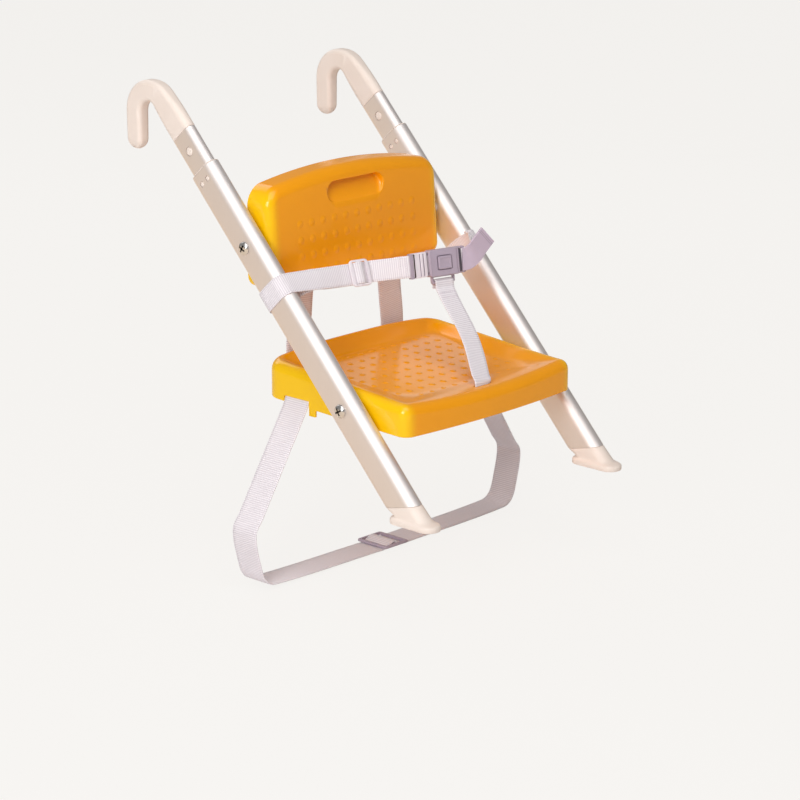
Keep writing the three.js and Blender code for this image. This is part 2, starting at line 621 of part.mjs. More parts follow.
// Waist belt round a tube, from the front of the tube over the outer face to the back of it
function tubeWrap(side, lead, leave) {
  const r = TUBE_W / 2 + slack;
  const flat = (TUBE_D - TUBE_W) / 2;
  const points = [];
  for (const [middle, from, to] of [[flat, lead, 90], [-flat, 90, 180 + leave]]) {
    for (let i = 0; i <= TURN_STEPS; i++) {
      const a = rad(from + ((to - from) * i) / TURN_STEPS);
      points.push(tubePoint(side * (TUBE_X + r * Math.sin(a)), BELT_T_ON_TUBE, middle + r * Math.cos(a)));
    }
  }
  return points.map((p) => [p, TUBE_DIR]);
}

// Flat frame with two slots and a bar between them, standing in XZ
function glide(length, height, thick, bar, slot) {
  const gap = (length - 3 * bar) / 2;
  const hole = (x) => box(x - gap / 2, x + gap / 2, -thick, thick, -slot / 2, slot / 2);
  return cut(box(-length / 2, length / 2, -thick / 2, thick / 2, -height / 2, height / 2),
    hole(-(bar + gap) / 2), hole((bar + gap) / 2));
}

// Strap threaded through such a frame: behind one end bar, over the middle bar, behind the other
function threaded(length, thick, bar, strapT) {
  const off = thick / 2 + CLEAR + strapT * 0.62;
  const end = length / 2;
  return [
    [-end - bar, off], [-end + bar + CLEAR, off], [-bar / 2 - CLEAR, -off], [bar / 2 + CLEAR, -off],
    [end - bar - CLEAR, off], [end + bar, off],
  ];
}

// Buckle, tongue and slider
const buckle = flatFrame(BUCKLE_X, BUCKLE_Y, BUCKLE_Z, BUCKLE_TURN, BUCKLE_LEAN);
const inBuckle = (x, y, z) => vec(x, y, z).applyMatrix4(buckle);
const slider = flatFrame(SLIDER_X, SLIDER_Y, SLIDER_Z, SLIDER_TURN, SLIDER_LEAN);
const inSlider = (x, y) => vec(x, y, 0).applyMatrix4(slider);
const HALF_L = BUCKLE_L / 2;
const HALF_H = BUCKLE_H / 2;
const HALF_T = BUCKLE_T / 2;
const FLANGE_Y = SHELL_T - HALF_T + CLEAR;

add('buckle_body', cut(
  box(-HALF_L, HALF_L, -HALF_T, -CLEAR / 2, -HALF_H, HALF_H),
  box(-HALF_L - 1, HALF_L - SHELL_T, SHELL_T - HALF_T, 1, SHELL_T - HALF_H, HALF_H - SHELL_T),
  box(-BUTTON_L / 2 - CLEAR, BUTTON_L / 2 + CLEAR, -BUCKLE_T, 0, -BUTTON_H / 2 - CLEAR, BUTTON_H / 2 + CLEAR),
).applyMatrix4(buckle), 'buckle');
add('release_button', join(
  box(-BUTTON_L / 2, BUTTON_L / 2, -HALF_T - BUTTON_PROUD, FLANGE_Y + 0.5, -BUTTON_H / 2, BUTTON_H / 2),
  box(-BUTTON_L / 2 - 2, BUTTON_L / 2 + 2, FLANGE_Y, FLANGE_Y + 1, -BUTTON_H / 2 - 2, BUTTON_H / 2 + 2),
).applyMatrix4(buckle), 'buckle');

const NOSE_H = TONGUE_H - 4 * SHELL_T;
const NOSE_T = TONGUE_T - 1;
const NOSE_Y = CLEAR / 2 + CLEAR;
const LOCK_END = HALF_L + LOCK_L;
const LOOP_LOW = -HALF_H - LOOP_DROP;
add('buckle_back', cut(
  join(
    box(-HALF_L, LOCK_END, CLEAR / 2, HALF_T, -HALF_H, HALF_H),
    box(-BELT_W / 2 - LOOP_BAR, BELT_W / 2 + LOOP_BAR, CLEAR / 2, CLEAR / 2 + LOOP_BAR, LOOP_LOW, 1 - HALF_H),
  ),
  box(-HALF_L - 1, HALF_L - 3 * SHELL_T, 0, NOSE_Y + NOSE_T + CLEAR, -NOSE_H / 2 - CLEAR, NOSE_H / 2 + CLEAR),
  box(HALF_L + 1, LOCK_END - LOCK_BAR, -1, BUCKLE_T, -BELT_W / 2 - 1, BELT_W / 2 + 1),
  box(HALF_L + 1, LOCK_END + 1, HALF_T - LOCK_BAR / 2, BUCKLE_T, -BUCKLE_H, BUCKLE_H),
  box(-BELT_W / 2 - 1, BELT_W / 2 + 1, -1, BUCKLE_T, LOOP_LOW + LOOP_BAR, -HALF_H - 1),
).applyMatrix4(buckle), 'buckle');

// The tongue has a nose inside the buckle and a slot the belt is sewn through
const TONGUE_END = -HALF_L - TONGUE_L;
add('buckle_tongue', cut(
  join(
    box(TONGUE_END, -HALF_L - CLEAR, -TONGUE_T / 2, NOSE_Y + NOSE_T, -TONGUE_H / 2, TONGUE_H / 2),
    box(-HALF_L - 1, HALF_L - 4 * SHELL_T, NOSE_Y, NOSE_Y + NOSE_T, -NOSE_H / 2, NOSE_H / 2),
  ),
  box(TONGUE_END + LOCK_BAR, TONGUE_END + 2 * LOCK_BAR, -BUCKLE_T, BUCKLE_T, -BELT_W / 2 - 1, BELT_W / 2 + 1),
).applyMatrix4(buckle), 'fitting');
add('belt_slider', glide(SLIDER_L, SLIDER_H, SLIDER_T, SLIDER_BAR, BELT_W + 2)
  .applyMatrix4(slider), 'fitting');

// Left belt: sewn round the tongue's end bar, through the slider, round the tube and back to the slider
const tongueBarY = (NOSE_Y + NOSE_T - TONGUE_T / 2) / 2;
const tongueTurn = (TONGUE_T / 2 + NOSE_Y + NOSE_T) / 2 + slack;
const BUCKLE_UP = UP.clone().transformDirection(buckle);
const SLIDER_UP = UP.clone().transformDirection(slider);
const upright = (points, up) => points.map((p) => [p, up]);
const FRONT = vec(0, -1, 0).transformDirection(buckle);
const ALONG = vec(1, 0, 0).transformDirection(buckle);
const through = threaded(SLIDER_L, SLIDER_T, SLIDER_BAR, BELT_T);
const backOff = SLIDER_T / 2 + slack;
const tongueBack = inBuckle(TONGUE_END, tongueBarY + tongueTurn, 0);
const tongueFront = inBuckle(TONGUE_END, tongueBarY - tongueTurn, 0);
const toSlider = inSlider(...through[through.length - 1]).sub(tongueFront).normalize();
const tongueBar = inBuckle(TONGUE_END + LOCK_BAR - BELT_T / 2, tongueBarY, 0);
add('waist_belt_left', strap([
  [tongueBack.clone().addScaledVector(toSlider, SEWN), BUCKLE_UP], [tongueBack, BUCKLE_UP],
  ...upright(uTurn(tongueBar, FRONT.clone().negate(), ALONG, tongueTurn), BUCKLE_UP),
  [tongueFront, BUCKLE_UP],
  ...upright([...through].reverse().map(([x, y]) => inSlider(x, y)), SLIDER_UP),
  [inSlider(-SLIDER_L, through[0][1]), SLIDER_UP],
  ...tubeWrap(-1, LEFT_LEAD, LEFT_LEAVE),
  [inSlider(-SLIDER_L * 1.2, backOff + 3.4 * BELT_T), SLIDER_UP],
  [inSlider(-SLIDER_L / 2 - SLIDER_BAR, through[0][1] + 1.5 * BELT_T), SLIDER_UP],
  [inSlider(through[1][0], through[1][1] + 1.5 * BELT_T), SLIDER_UP],
  [inSlider(SLIDER_BAR / 2, backOff + CLEAR), SLIDER_UP],
], BELT_W, BELT_T), 'webbing');

// Right belt: free end, round the lock bar, to the tube, round it and sewn back on itself
const lockY = (CLEAR / 2 + HALF_T - LOCK_BAR / 2) / 2;
const lockTurn = (HALF_T - LOCK_BAR / 2 - CLEAR / 2) / 2 + slack;
const TAB = vec(1, 0, 0).applyEuler(new THREE.Euler(0, -rad(TAB_RISE), rad(TAB_TURN), 'ZYX'));
const TAB_ACROSS = UP.clone().addScaledVector(TAB, -TAB.z).normalize();
const tabFoot = inBuckle(LOCK_END + LOCK_BAR, lockY - lockTurn - BELT_T, 0);
const lockBack = inBuckle(LOCK_END + 2 * LOCK_BAR, lockY + lockTurn, 0);
const nose = tubePoint(TUBE_X, BELT_T_ON_TUBE, TUBE_D / 2 + slack);
const between = (k, back) => lockBack.clone().lerp(nose, k).add(vec(0, back, 0));
add('waist_belt_right', strap([
  [tabFoot.clone().addScaledVector(TAB, TAB_L), TAB_ACROSS],
  [tabFoot.clone().addScaledVector(TAB, TAB_L / 2), TAB_ACROSS],
  [tabFoot.clone().addScaledVector(TAB, TAB_L / 5), BUCKLE_UP.clone().lerp(TAB_ACROSS, 0.6)],
  ...upright(uTurn(inBuckle(LOCK_END - LOCK_BAR + BELT_T / 2, lockY, 0), FRONT,
    ALONG.clone().negate(), lockTurn), BUCKLE_UP),
  [lockBack, BUCKLE_UP], [between(0.6, 0), UP.clone().lerp(TUBE_DIR, 0.4)],
  ...tubeWrap(1, RIGHT_LEAD, RIGHT_LEAVE),
  [between(0.55, 2.5 * BELT_T), UP.clone().lerp(TUBE_DIR, 0.4)], [between(0.4, 2 * BELT_T), UP],
], BELT_W, BELT_T), 'webbing');

// Crotch strap: sewn round the buckle's loop, down through the seat and round a bar under it
const loopZ = LOOP_LOW + LOOP_BAR / 2;
const loopY = CLEAR / 2 + LOOP_BAR / 2;
const loopTurn = LOOP_BAR * 0.75 + slack;
const barTurn = BAR_D / 2 + slack;
const underZ = seatTop(CROTCH_Y - SEAT_FRONT + SEAT_BOW, 0, CROTCH_Y) - SEAT_WALL - 2 * CLEAR - BAR_D / 2 - 1;
const bar = (x, y, z, width) => rod(BAR_D, -width / 2 - 3, width / 2 + 3, 16).translate(x, y, z);
const crotchTop = inBuckle(0, loopY - loopTurn, loopZ - SEWN / 2);
const crotchFoot = vec(0, CROTCH_Y, RIM_FRONT - FRONT_SAG + 3 * BELT_T);
const crotchRun = Array.from({ length: RUN_STEPS + 1 }, (_, i) => crotchTop.clone()
  .lerp(crotchFoot, i / RUN_STEPS)
  .addScaledVector(vec(1, 0.3, 0), CROTCH_BOW * Math.sin((Math.PI * i) / RUN_STEPS)));
add('crotch_strap', strap([
  [inBuckle(0, loopY + loopTurn, loopZ - SEWN / 2), ALONG],
  ...uTurn(inBuckle(0, loopY, loopZ), FRONT.clone().negate(), BUCKLE_UP, loopTurn).map((p) => [p, ALONG]),
  ...crotchRun.map((p, i) => [p, ALONG.clone().lerp(ACROSS, i / RUN_STEPS)]),
  ...uTurn(vec(0, CROTCH_Y + barTurn, underZ), vec(0, -1, 0), vec(0, 0, -1), barTurn).map((p) => [p, ACROSS]),
], BELT_W, BELT_T), 'webbing');
add('crotch_bar', bar(0, CROTCH_Y + barTurn, underZ, BELT_W), 'steel');

// Back straps in two lengths that meet half way, each sewn round a bar behind its slot
const wideTurn = BAR_D / 2 + CLEAR + WIDE_T / 2;
for (const [name, side] of SIDES) {
  const top = side * STRAP_X_TOP;
  const low = side * STRAP_X_LOW;
  const middle = vec((top + low) / 2, STRAP_Y, STRAP_JOIN_Z);
  const barZ = BACK_LOW + BACK_WALL + CLEAR + BAR_D / 2;
  const barY = SEAT_REAR - SEAT_WALL - CLEAR - BAR_D / 2;
  const barLow = STRAP_HOLE_Z - wideTurn;
  add(`${name}_back_strap_upper`, strap([
    [middle.clone().add(vec(0, 0, CLEAR / 2)), ACROSS], [vec(top, STRAP_Y, BACK_LOW - 1), ACROSS],
    ...uTurn(vec(top, STRAP_Y + wideTurn, barZ), vec(0, -1, 0), UP, wideTurn).map((p) => [p, ACROSS]),
  ], WIDE_W, WIDE_T), 'webbing');
  add(`${name}_back_bar`, bar(top, STRAP_Y + wideTurn, barZ, WIDE_W), 'steel');
  add(`${name}_back_strap_lower`, strap([
    [middle.clone().sub(vec(0, 0, CLEAR / 2)), ACROSS],
    ...smooth([vec(low, STRAP_Y, STRAP_HOLE_Z + 16), vec(low, STRAP_Y - 1.5, STRAP_HOLE_Z + 5),
      vec(low, SEAT_REAR - SEAT_WALL / 2, STRAP_HOLE_Z)], 8).map((p) => [p, ACROSS]),
    ...uTurn(vec(low, barY, barLow), UP, vec(0, -1, 0), wideTurn).map((p) => [p, ACROSS]),
  ], WIDE_W, WIDE_T), 'webbing');
  add(`${name}_seat_bar`, bar(low, barY, barLow, WIDE_W), 'steel');
}

// Anchor strap: a loop across the underside of the dish, out of the side notches and round below
const runZ = DISH - SEAT_WALL - CLEAR - WIDE_T / 2;
const exit = vec(SEAT_HALF + WIDE_T, 0, SEAT_LOW + SEAT_WALL / 3);
const wide = vec(ANCHOR_OUT, 0, ANCHOR_OUT_Z);
const halfLoop = [
  vec(ANCHOR_LOW_X - ANCHOR_CORNER, 0, ANCHOR_LOW), vec(ANCHOR_LOW_X, 0, ANCHOR_LOW + ANCHOR_CORNER / 2),
  vec(ANCHOR_OUT - ANCHOR_CORNER / 2, 0, ANCHOR_OUT_Z + (ANCHOR_LOW - ANCHOR_OUT_Z) * 0.6), wide,
  exit.clone().lerp(wide, 0.87), exit.clone().lerp(wide, 0.5), exit,
  vec(SEAT_HALF - 2 * SEAT_WALL, 0, runZ - 4 * SEAT_WALL),
  vec(SEAT_HALF - 6 * SEAT_WALL, 0, runZ - SEAT_WALL),
  vec(SEAT_HALF - 10 * SEAT_WALL, 0, runZ),
];
const loopRight = smooth(halfLoop, 36);
const loopLeft = [...loopRight].reverse().map((p) => vec(-p.x, p.y, p.z));
const adjust = threaded(ADJUST_L, ADJUST_T, SLIDER_BAR, WIDE_T).map(([x, y]) => vec(x, 0, ANCHOR_LOW - y));
const anchorLoop = [...loopRight, ...loopLeft, ...adjust].map((p) => [p.setY(ANCHOR_Y), vec(0, 1, 0)]);
add('anchor_strap', strap(anchorLoop, WIDE_W, WIDE_T, true), 'webbing');
add('anchor_adjuster', glide(ADJUST_L, WIDE_W + 2 * ADJUST_RAIL, ADJUST_T, SLIDER_BAR, WIDE_W + 2)
  .rotateX(Math.PI / 2).translate(0, ANCHOR_Y, ANCHOR_LOW), 'buckle');

export default part;
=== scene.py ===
# Folding booster seat: two sloping tubes with hooked tops carry a seat and a backrest that fold up.
import math
import bpy
from mathutils import Matrix, Vector


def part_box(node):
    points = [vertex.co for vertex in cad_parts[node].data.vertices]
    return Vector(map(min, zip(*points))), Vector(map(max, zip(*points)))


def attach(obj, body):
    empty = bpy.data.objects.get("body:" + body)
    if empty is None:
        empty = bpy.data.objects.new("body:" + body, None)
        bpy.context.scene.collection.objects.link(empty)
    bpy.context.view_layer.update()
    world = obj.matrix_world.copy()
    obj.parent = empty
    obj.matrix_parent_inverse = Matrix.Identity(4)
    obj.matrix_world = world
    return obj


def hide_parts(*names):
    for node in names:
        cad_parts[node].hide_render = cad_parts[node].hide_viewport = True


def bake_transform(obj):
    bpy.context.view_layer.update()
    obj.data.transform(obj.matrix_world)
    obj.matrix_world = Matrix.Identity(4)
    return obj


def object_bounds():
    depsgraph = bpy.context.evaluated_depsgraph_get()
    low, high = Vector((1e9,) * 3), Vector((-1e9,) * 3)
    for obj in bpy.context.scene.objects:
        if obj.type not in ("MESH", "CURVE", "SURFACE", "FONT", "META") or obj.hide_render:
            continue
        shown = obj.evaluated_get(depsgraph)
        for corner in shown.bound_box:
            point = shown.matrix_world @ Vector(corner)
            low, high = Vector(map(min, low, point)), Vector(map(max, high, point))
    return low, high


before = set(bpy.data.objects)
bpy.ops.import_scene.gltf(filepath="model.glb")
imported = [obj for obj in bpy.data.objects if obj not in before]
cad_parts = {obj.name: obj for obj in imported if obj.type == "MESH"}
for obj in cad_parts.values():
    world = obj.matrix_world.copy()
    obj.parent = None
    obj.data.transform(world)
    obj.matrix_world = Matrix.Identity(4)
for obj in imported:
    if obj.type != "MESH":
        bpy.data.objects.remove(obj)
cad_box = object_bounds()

# Camera, floor and light
# The camera stands at the photograph's angle over a pale floor. A lamp at the left and a wide one overhead
# draw bands down the tubes, a low one behind shows in the dish, and a high one behind fills the shade.
camera = bpy.data.objects.new("camera", bpy.data.cameras.new("camera"))
bpy.context.scene.collection.objects.link(camera)
bpy.context.scene.camera = camera
camera.data.lens = 130.5
camera.data.clip_end = 50
camera_far = 3.1148
turn, rise = math.radians(-46.65), math.radians(15.84)
back = Vector((math.sin(turn) * math.cos(rise), -math.cos(turn) * math.cos(rise), math.sin(rise)))
right = Vector((math.cos(turn), math.sin(turn), 0))
aim = Vector((-0.1905, 0, 0.1535))
camera_turn = Matrix((right, back.cross(right), back)).transposed().to_4x4()
camera.matrix_world = Matrix.Translation(aim + camera_far * back) @ camera_turn
bpy.context.scene.view_settings.view_transform = "Standard"


class Wire:
    """A value in a material's node tree that Python arithmetic can be written on."""

    def __init__(self, finish, socket):
        self.finish, self.socket = finish, socket

    def math(self, operation, *values):
        return self.finish.node("ShaderNodeMath", {"operation": operation}, dict(enumerate(values)))

    def __add__(self, other):
        return self.math("ADD", self, other)

    def __sub__(self, other):
        return self.math("SUBTRACT", self, other)

    def __rsub__(self, other):
        return self.math("SUBTRACT", other, self)

    def __mul__(self, other):
        return self.math("MULTIPLY", self, other)

    __radd__ = __add__
    __rmul__ = __mul__

    def of(self, operation, *others):
        return self.math(operation, self, *others)


class Finish:
    """One material: constants sit on its shader, and what varies is fed in as wires."""

    def __init__(self, name, **constants):
        self.material = bpy.data.materials.new(name)
        self.material.use_nodes = True
        self.tree = self.material.node_tree
        self.shader = self.tree.nodes["Principled BSDF"]
        for socket, value in constants.items():
            self.shader.inputs[socket.replace("_", " ")].default_value = value

    def node(self, kind, settings=None, inputs=None, out=0):
        made = self.tree.nodes.new(kind)
        for key, value in (settings or {}).items():
            setattr(made, key, value)
        for key, value in (inputs or {}).items():
            if isinstance(value, Wire):
                self.tree.links.new(value.socket, made.inputs[key])
            else:
                made.inputs[key].default_value = value
        return Wire(self, made.outputs[out])

    def feed(self, **wires):
        for socket, wire in wires.items():
            self.tree.links.new(wire.socket, self.shader.inputs[socket.replace("_", " ")])
        return self

    def cover(self, other, share):
        """Lays another shader over the first by a varying share."""
        under = Wire(self, self.shader.outputs[0])
        both = self.node("ShaderNodeMixShader", None, {0: share, 1: under, 2: other})
        self.tree.links.new(both.socket, self.tree.nodes["Material Output"].inputs["Surface"])

    def noise(self, scale, detail=2.0, where=None):
        where = where or self.node("ShaderNodeTexCoord", out="Object")
        return self.node("ShaderNodeTexNoise", None, {"Vector": where, "Scale": scale, "Detail": detail})

    def mix(self, share, first, second):
        return self.node("ShaderNodeMix", {"data_type": "RGBA"}, {0: share, 6: first, 7: second}, out=2)

    def bump(self, height, distance, strength=1.0):
        inputs = {"Height": height, "Distance": distance, "Strength": strength}
        return self.node("ShaderNodeBump", None, inputs)


def colour(red, green, blue):
    return tuple(v / 12.92 if v <= 0.04045 else ((v + 0.055) / 1.055) ** 2.4
                 for v in (red / 255, green / 255, blue / 255)) + (1,)


def pick_none():
    if bpy.context.object and bpy.context.object.mode != "OBJECT":
        bpy.ops.object.mode_set(mode="OBJECT")
    bpy.ops.object.select_all(action="DESELECT")


floor_below, floor_size = 0.003, 30
pick_none()
bpy.ops.mesh.primitive_plane_add(size=floor_size, location=(0, 0, cad_box[0][2] - floor_below))
floor = bpy.context.object
floor.name = "floor"
paper = Finish("pale_paper", Roughness=0.9)
sheet_tint = paper.noise(3.0)
paper.feed(Base_Color=paper.mix(sheet_tint, colour(240, 237, 237), colour(247, 244, 243)))
by_eye = paper.node("ShaderNodeLightPath", out="Is Camera Ray")
by_shine = paper.node("ShaderNodeLightPath", out="Is Glossy Ray")
seen_share, shine_share = 0.94, 0.8
glow_tint = paper.mix(by_shine, colour(247, 245, 242), colour(252, 227, 197))
glow = paper.node("ShaderNodeEmission", None, {"Color": glow_tint})
paper.cover(glow, by_eye * seen_share + by_shine * shine_share)
floor.data.materials.append(paper.material)

world = bpy.data.worlds.new("studio")
bpy.context.scene.world = world
world.use_nodes = True
sky = world.node_tree.nodes["Background"].inputs
sky["Color"].default_value = (1, 0.985, 0.97, 1)
sky["Strength"].default_value = 0.28
lit_place = Vector((0, 0.2, 0.2))
for name, place, wide, high, power in (
    ("left_lamp", (-2.5, -0.8, 1.2), 1.1, 1.1, 37), ("overhead_lamp", (-0.8, -0.8, 2.4), 2.2, 2.2, 33),
    ("rear_lamp", (2.05, 1.38, 0.82), 1.2, 0.6, 1.45), ("rear_fill", (0.5, 2.8, 2.0), 1.8, 1.8, 18),
):
    lamp = bpy.data.objects.new(name, bpy.data.lights.new(name, "AREA"))
    lamp.data.shape = "RECTANGLE"
    lamp.data.size, lamp.data.size_y, lamp.data.energy = wide, high, power
    lamp.visible_camera = False
    bpy.context.scene.collection.objects.link(lamp)
    facing_lamp = (Vector(place) - lit_place).to_track_quat("Z", "Y").to_matrix().to_4x4()
    lamp.matrix_world = Matrix.Translation(place) @ facing_lamp

# Outer tubes
# Two flat-sided oval aluminium tubes, satin anodised, cut aslant at the foot and square at the top.
# Each is one extrusion with a thin wall, and its rounded front catches a long highlight.
mm = 0.001
lean = math.radians(43)
tube_x, tube_y, tube_wall = 156, 7.5, 1.3
tube_w, tube_d = 22, 42
tube_cut, cut_slope, tube_top = 27.8, math.tan(math.radians(30.4)), 483
sides = (("left", -1), ("right", 1))


def oval(width, depth, steps=18):
    """Outline of a flat-sided oval, going round once."""
    r = min(width, depth) / 2
    points = []
    for end in (1, -1):
        for i in range(steps + 1):
            a = (i / steps + (0 if end > 0 else 1)) * math.pi
            points.append((width / 2 * math.cos(a), end * (depth / 2 - r) + r * math.sin(a)))
    return points


def on_tube(side, x, y, along):
    """A point given across, behind and along a tube, in the object's own frame."""
    return Vector((side * tube_x + x, tube_y + math.cos(lean) * y + math.sin(lean) * along,
                   math.cos(lean) * along - math.sin(lean) * y))


def skin(name, rings, finish, looped=False, angle=35, measure=None):
    """A grid wrapped over rings of points in millimetres: its seam is merged and its ends are closed.
    measure gives the UV map its distances round each ring and along the rings."""
    rows, cols = len(rings), len(rings[0])
    pick_none()
    bpy.ops.mesh.primitive_grid_add(x_subdivisions=cols, y_subdivisions=rows - (0 if looped else 1), size=1)
    piece = bpy.context.object
    piece.name = piece.data.name = name
    for i, v in enumerate(piece.data.vertices):
        row, col = divmod(i, cols + 1)
        v.co = Vector(rings[row % rows][col % cols]) * mm
    if measure:
        uv = piece.data.uv_layers.active.data
        for loop in piece.data.loops:
            row, col = divmod(loop.vertex_index, cols + 1)
            uv[loop.index].uv = (measure[0][col % cols] * mm, measure[1][row] * mm)
    bpy.ops.object.mode_set(mode="EDIT")
    bpy.ops.mesh.select_all(action="SELECT")
    bpy.ops.mesh.remove_doubles(threshold=1e-6)
    if not looped:
        bpy.ops.mesh.select_all(action="SELECT")
        bpy.ops.mesh.fill_holes(sides=0)
    bpy.ops.mesh.select_all(action="SELECT")
    bpy.ops.mesh.normals_make_consistent(inside=False)
    bpy.ops.object.mode_set(mode="OBJECT")
    bpy.ops.object.shade_smooth_by_angle(angle=math.radians(angle))
    piece.data.materials.append(finish.material)
    return piece


def tube_rings(side, width, depth, wall, low, high, slope):
    """Outer and inner walls of a tube with softened end lips."""
    def ring(shrink, along, tilt):
        outline = oval(width - 2 * shrink, depth - 2 * shrink)
        return [on_tube(side, x, y, along + tilt * y) for x, y in outline]
    soft = wall * 0.3
    steps = [low + soft + (high - low - 2 * soft) * i / 12 for i in range(13)]
    outside = [ring(0, s, slope * (1 - i / 12)) for i, s in enumerate(steps)]
    inside = [ring(wall, s, slope * (1 - i / 12)) for i, s in enumerate(steps)]
    return ([ring(soft, low, slope)] + outside + [ring(soft, high, 0), ring(wall - soft, high, 0)]
            + inside[::-1] + [ring(wall - soft, low, slope)])


anodised = Finish("satin_anodised", Metallic=1.0)
along_tube = anodised.node("ShaderNodeMapping", None, {
    "Vector": anodised.node("ShaderNodeTexCoord", out="Object"),
    "Rotation": (lean, 0, 0), "Scale": (700, 700, 6)})
streak = anodised.noise(1.0, 3.0, along_tube)
cloud = anodised.noise(14.0)
anodised.feed(
    Base_Color=anodised.mix(streak * 0.6 + cloud * 0.4, colour(236, 229, 227), colour(243, 237, 235)),
    Roughness=0.53 + streak * 0.05 + cloud * 0.05,
)
outer_tubes = {}
for name, side in sides:
    rings = tube_rings(side, tube_w, tube_d, tube_wall, tube_cut, tube_top, cut_slope)
    outer_tubes[name] = tube = skin(f"{name}_tube", rings, anodised, looped=True)
    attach(tube, "frame")
    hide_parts(f"{name}_outer_tube")

# Inner tubes
# Smaller tubes of the same section that slide in the outer ones and carry the hooks.
# A moulded plug on the lower end stops them coming out.
inner_w, inner_d, inner_wall = 16, 36, 1.4
inner_low, inner_top = 417.3, 534
slide_tubes = {}
for name, side in sides:
    rings = tube_rings(side, inner_w, inner_d, inner_wall, inner_low, inner_top, 0)
    slide_tubes[name] = tube = skin(f"{name}_slide_tube", rings, anodised, looped=True)
    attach(tube, f"{name}_hook_arm")
    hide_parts(f"{name}_inner_tube")

# Hooks
# Pale moulded plastic, plugged into the inner tubes. Each carries on in line with the tube, thins and
# bends over in one round sweep, and hangs down behind with a rounded end.
hook_straight, hook_plain, hook_bend, hook_leg, hook_thick, hook_wide = 49.5, 12, 27, 45, 25, 18
hook_spigot, hook_corner, corner_loss, edge_step, edge_from, edge_over = 37, 8, 2.6, 0.5, 6, 16
hook_lip, hook_steps, end_steps = 0.7, 56, 10
gap, slip = 0.3, 0.6


def soft_plastic(name, pale, deep, rough):
    """Moulded plastic with a faint mottle and a fine skin."""
    made = Finish(name)
    mottle, grain = made.noise(30.0, 3.0), made.noise(2600.0, 1.0)
    made.feed(
        Base_Color=made.mix(mottle, deep, pale), Roughness=rough + grain * 0.08 + mottle * 0.06,
        Normal=made.bump(grain, 0.00003, 0.35))
    return made


def clamp01(v):
    return min(1, max(0, v))


def ease(v):
    v = clamp01(v)
    return v * v * (3 - 2 * v)


pale_plastic = soft_plastic("pale_plastic", colour(240, 226, 216), colour(234, 218, 206), 0.40)
bend_turn = math.pi - lean
bend_end = hook_straight + hook_bend * bend_turn
hook_long = bend_end + hook_leg


def rounded(width, depth, corner, step=0.001, steps=9):
    """Outline of a rectangle with round corners, its outer edge set back by a small step on both sides."""
    r = min(corner, 0.98 * min(width, depth) / 2)
    flat, back_edge = width / 2, depth / 2 - r
    points = []
    for k, (u, v) in enumerate(((1, 1), (-1, 1), (-1, -1), (1, -1))):
        less = 0 if v > 0 else step
        if k == 2:
            points += [(-flat, -back_edge + 0.02), (less - flat, -back_edge - 0.08)]
        for i in range(steps + 1):
            a = (k + (i / steps if v > 0 else (i + 0.3) / (steps + 0.6))) * math.pi / 2
            points.append((u * (flat - r) + (r - less) * math.cos(a),
                           v * back_edge + (r - less) * math.sin(a)))
    return points + [(flat - step, -back_edge - 0.08), (flat, -back_edge + 0.02)]


def hook_rings(side):
    """Rings from the spigot up the straight part, over the bend and down to the rounded end."""
    stops = [(hook_long - hook_thick / 2) * i / hook_steps for i in range(hook_steps + 1)]
    stops += [hook_long - hook_thick / 2 * (1 - math.sin(i / (end_steps + 0.4) * math.pi / 2))
              for i in range(1, end_steps + 1)]
    plug_w, plug_d = inner_w - 2 * inner_wall - slip, inner_d - 2 * inner_wall - slip

    def straight(width, depth, along):
        return [on_tube(side, x, y, along) for x, y in rounded(width, depth, width)]
    rings = [straight(plug_w - 1, plug_d - 1, inner_top - hook_spigot),
             straight(plug_w, plug_d, inner_top - hook_spigot + 1), straight(plug_w, plug_d, inner_top + gap),
             straight(inner_w - 0.8, inner_d - 0.8, inner_top + gap)]
    for i, s in enumerate(stops):
        a = min(max(s - hook_straight, 0) / hook_bend, bend_turn)
        rest = max(s - bend_end, 0)
        along = min(s, hook_straight) + hook_bend * math.sin(a) + rest * math.cos(bend_turn)
        behind = hook_bend * (1 - math.cos(a)) + rest * math.sin(bend_turn)
        close = clamp01((s - hook_long + hook_thick / 2) / (hook_thick / 2))
        fade = math.sqrt(1 - close * close)
        thick = inner_d + (hook_thick - inner_d) * ease((s - hook_plain) / (hook_straight + hook_bend / 2))
        wide = inner_w + (hook_wide - inner_w) * math.sin(math.pi * min(1, s / hook_long))
        corner = hook_corner - corner_loss * ease((s - hook_plain) / hook_straight)
        step = 0.001 + edge_step * ease((s - hook_straight - edge_from) / edge_over) * fade
        lift = hook_lip if i == 0 else 0
        rings.append([on_tube(side, x, behind + y * math.cos(a), inner_top + along + lift - y * math.sin(a))
                      for x, y in rounded(wide * fade, thick * fade, corner * fade, step)])
    return rings


for name, side in sides:
    hook = skin(f"{name}_hook_shell", hook_rings(side), pale_plastic, angle=50)
    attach(hook, f"{name}_hook_arm")
    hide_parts(f"{name}_hook")

# Hook pins and guide sleeves
# A round plastic pin goes through the inner tube and the hook. A moulded sleeve with a thin lip guides the
# inner tube in the mouth of the outer one, held by two small lugs that show as dots in the flat sides.
pin_along, pin_d, lug_along, lug_d, lug_apart = 510.5, 10, 469, 5.6, 12
pin_loose, lug_loose, lug_sunk, drill_half, sleeve_long = 0.5, 0.45, 0.35, 20, 36
bore_w, bore_d = tube_w - 2 * tube_wall - slip, tube_d - 2 * tube_wall - slip


def turned(name, profile, place, finish, steps=40, angle=40):
    """A round piece along X from a profile of radius and distance, put in place by a matrix."""
    turns = [2 * math.pi * i / steps for i in range(steps)]
    rings = [[place @ Vector((x, r * math.cos(a), r * math.sin(a))) for a in turns] for r, x in profile]
    return skin(name, rings, finish, angle=angle)


def along_place(side, y, along):
    return Matrix.Translation(on_tube(side, 0, y, along))


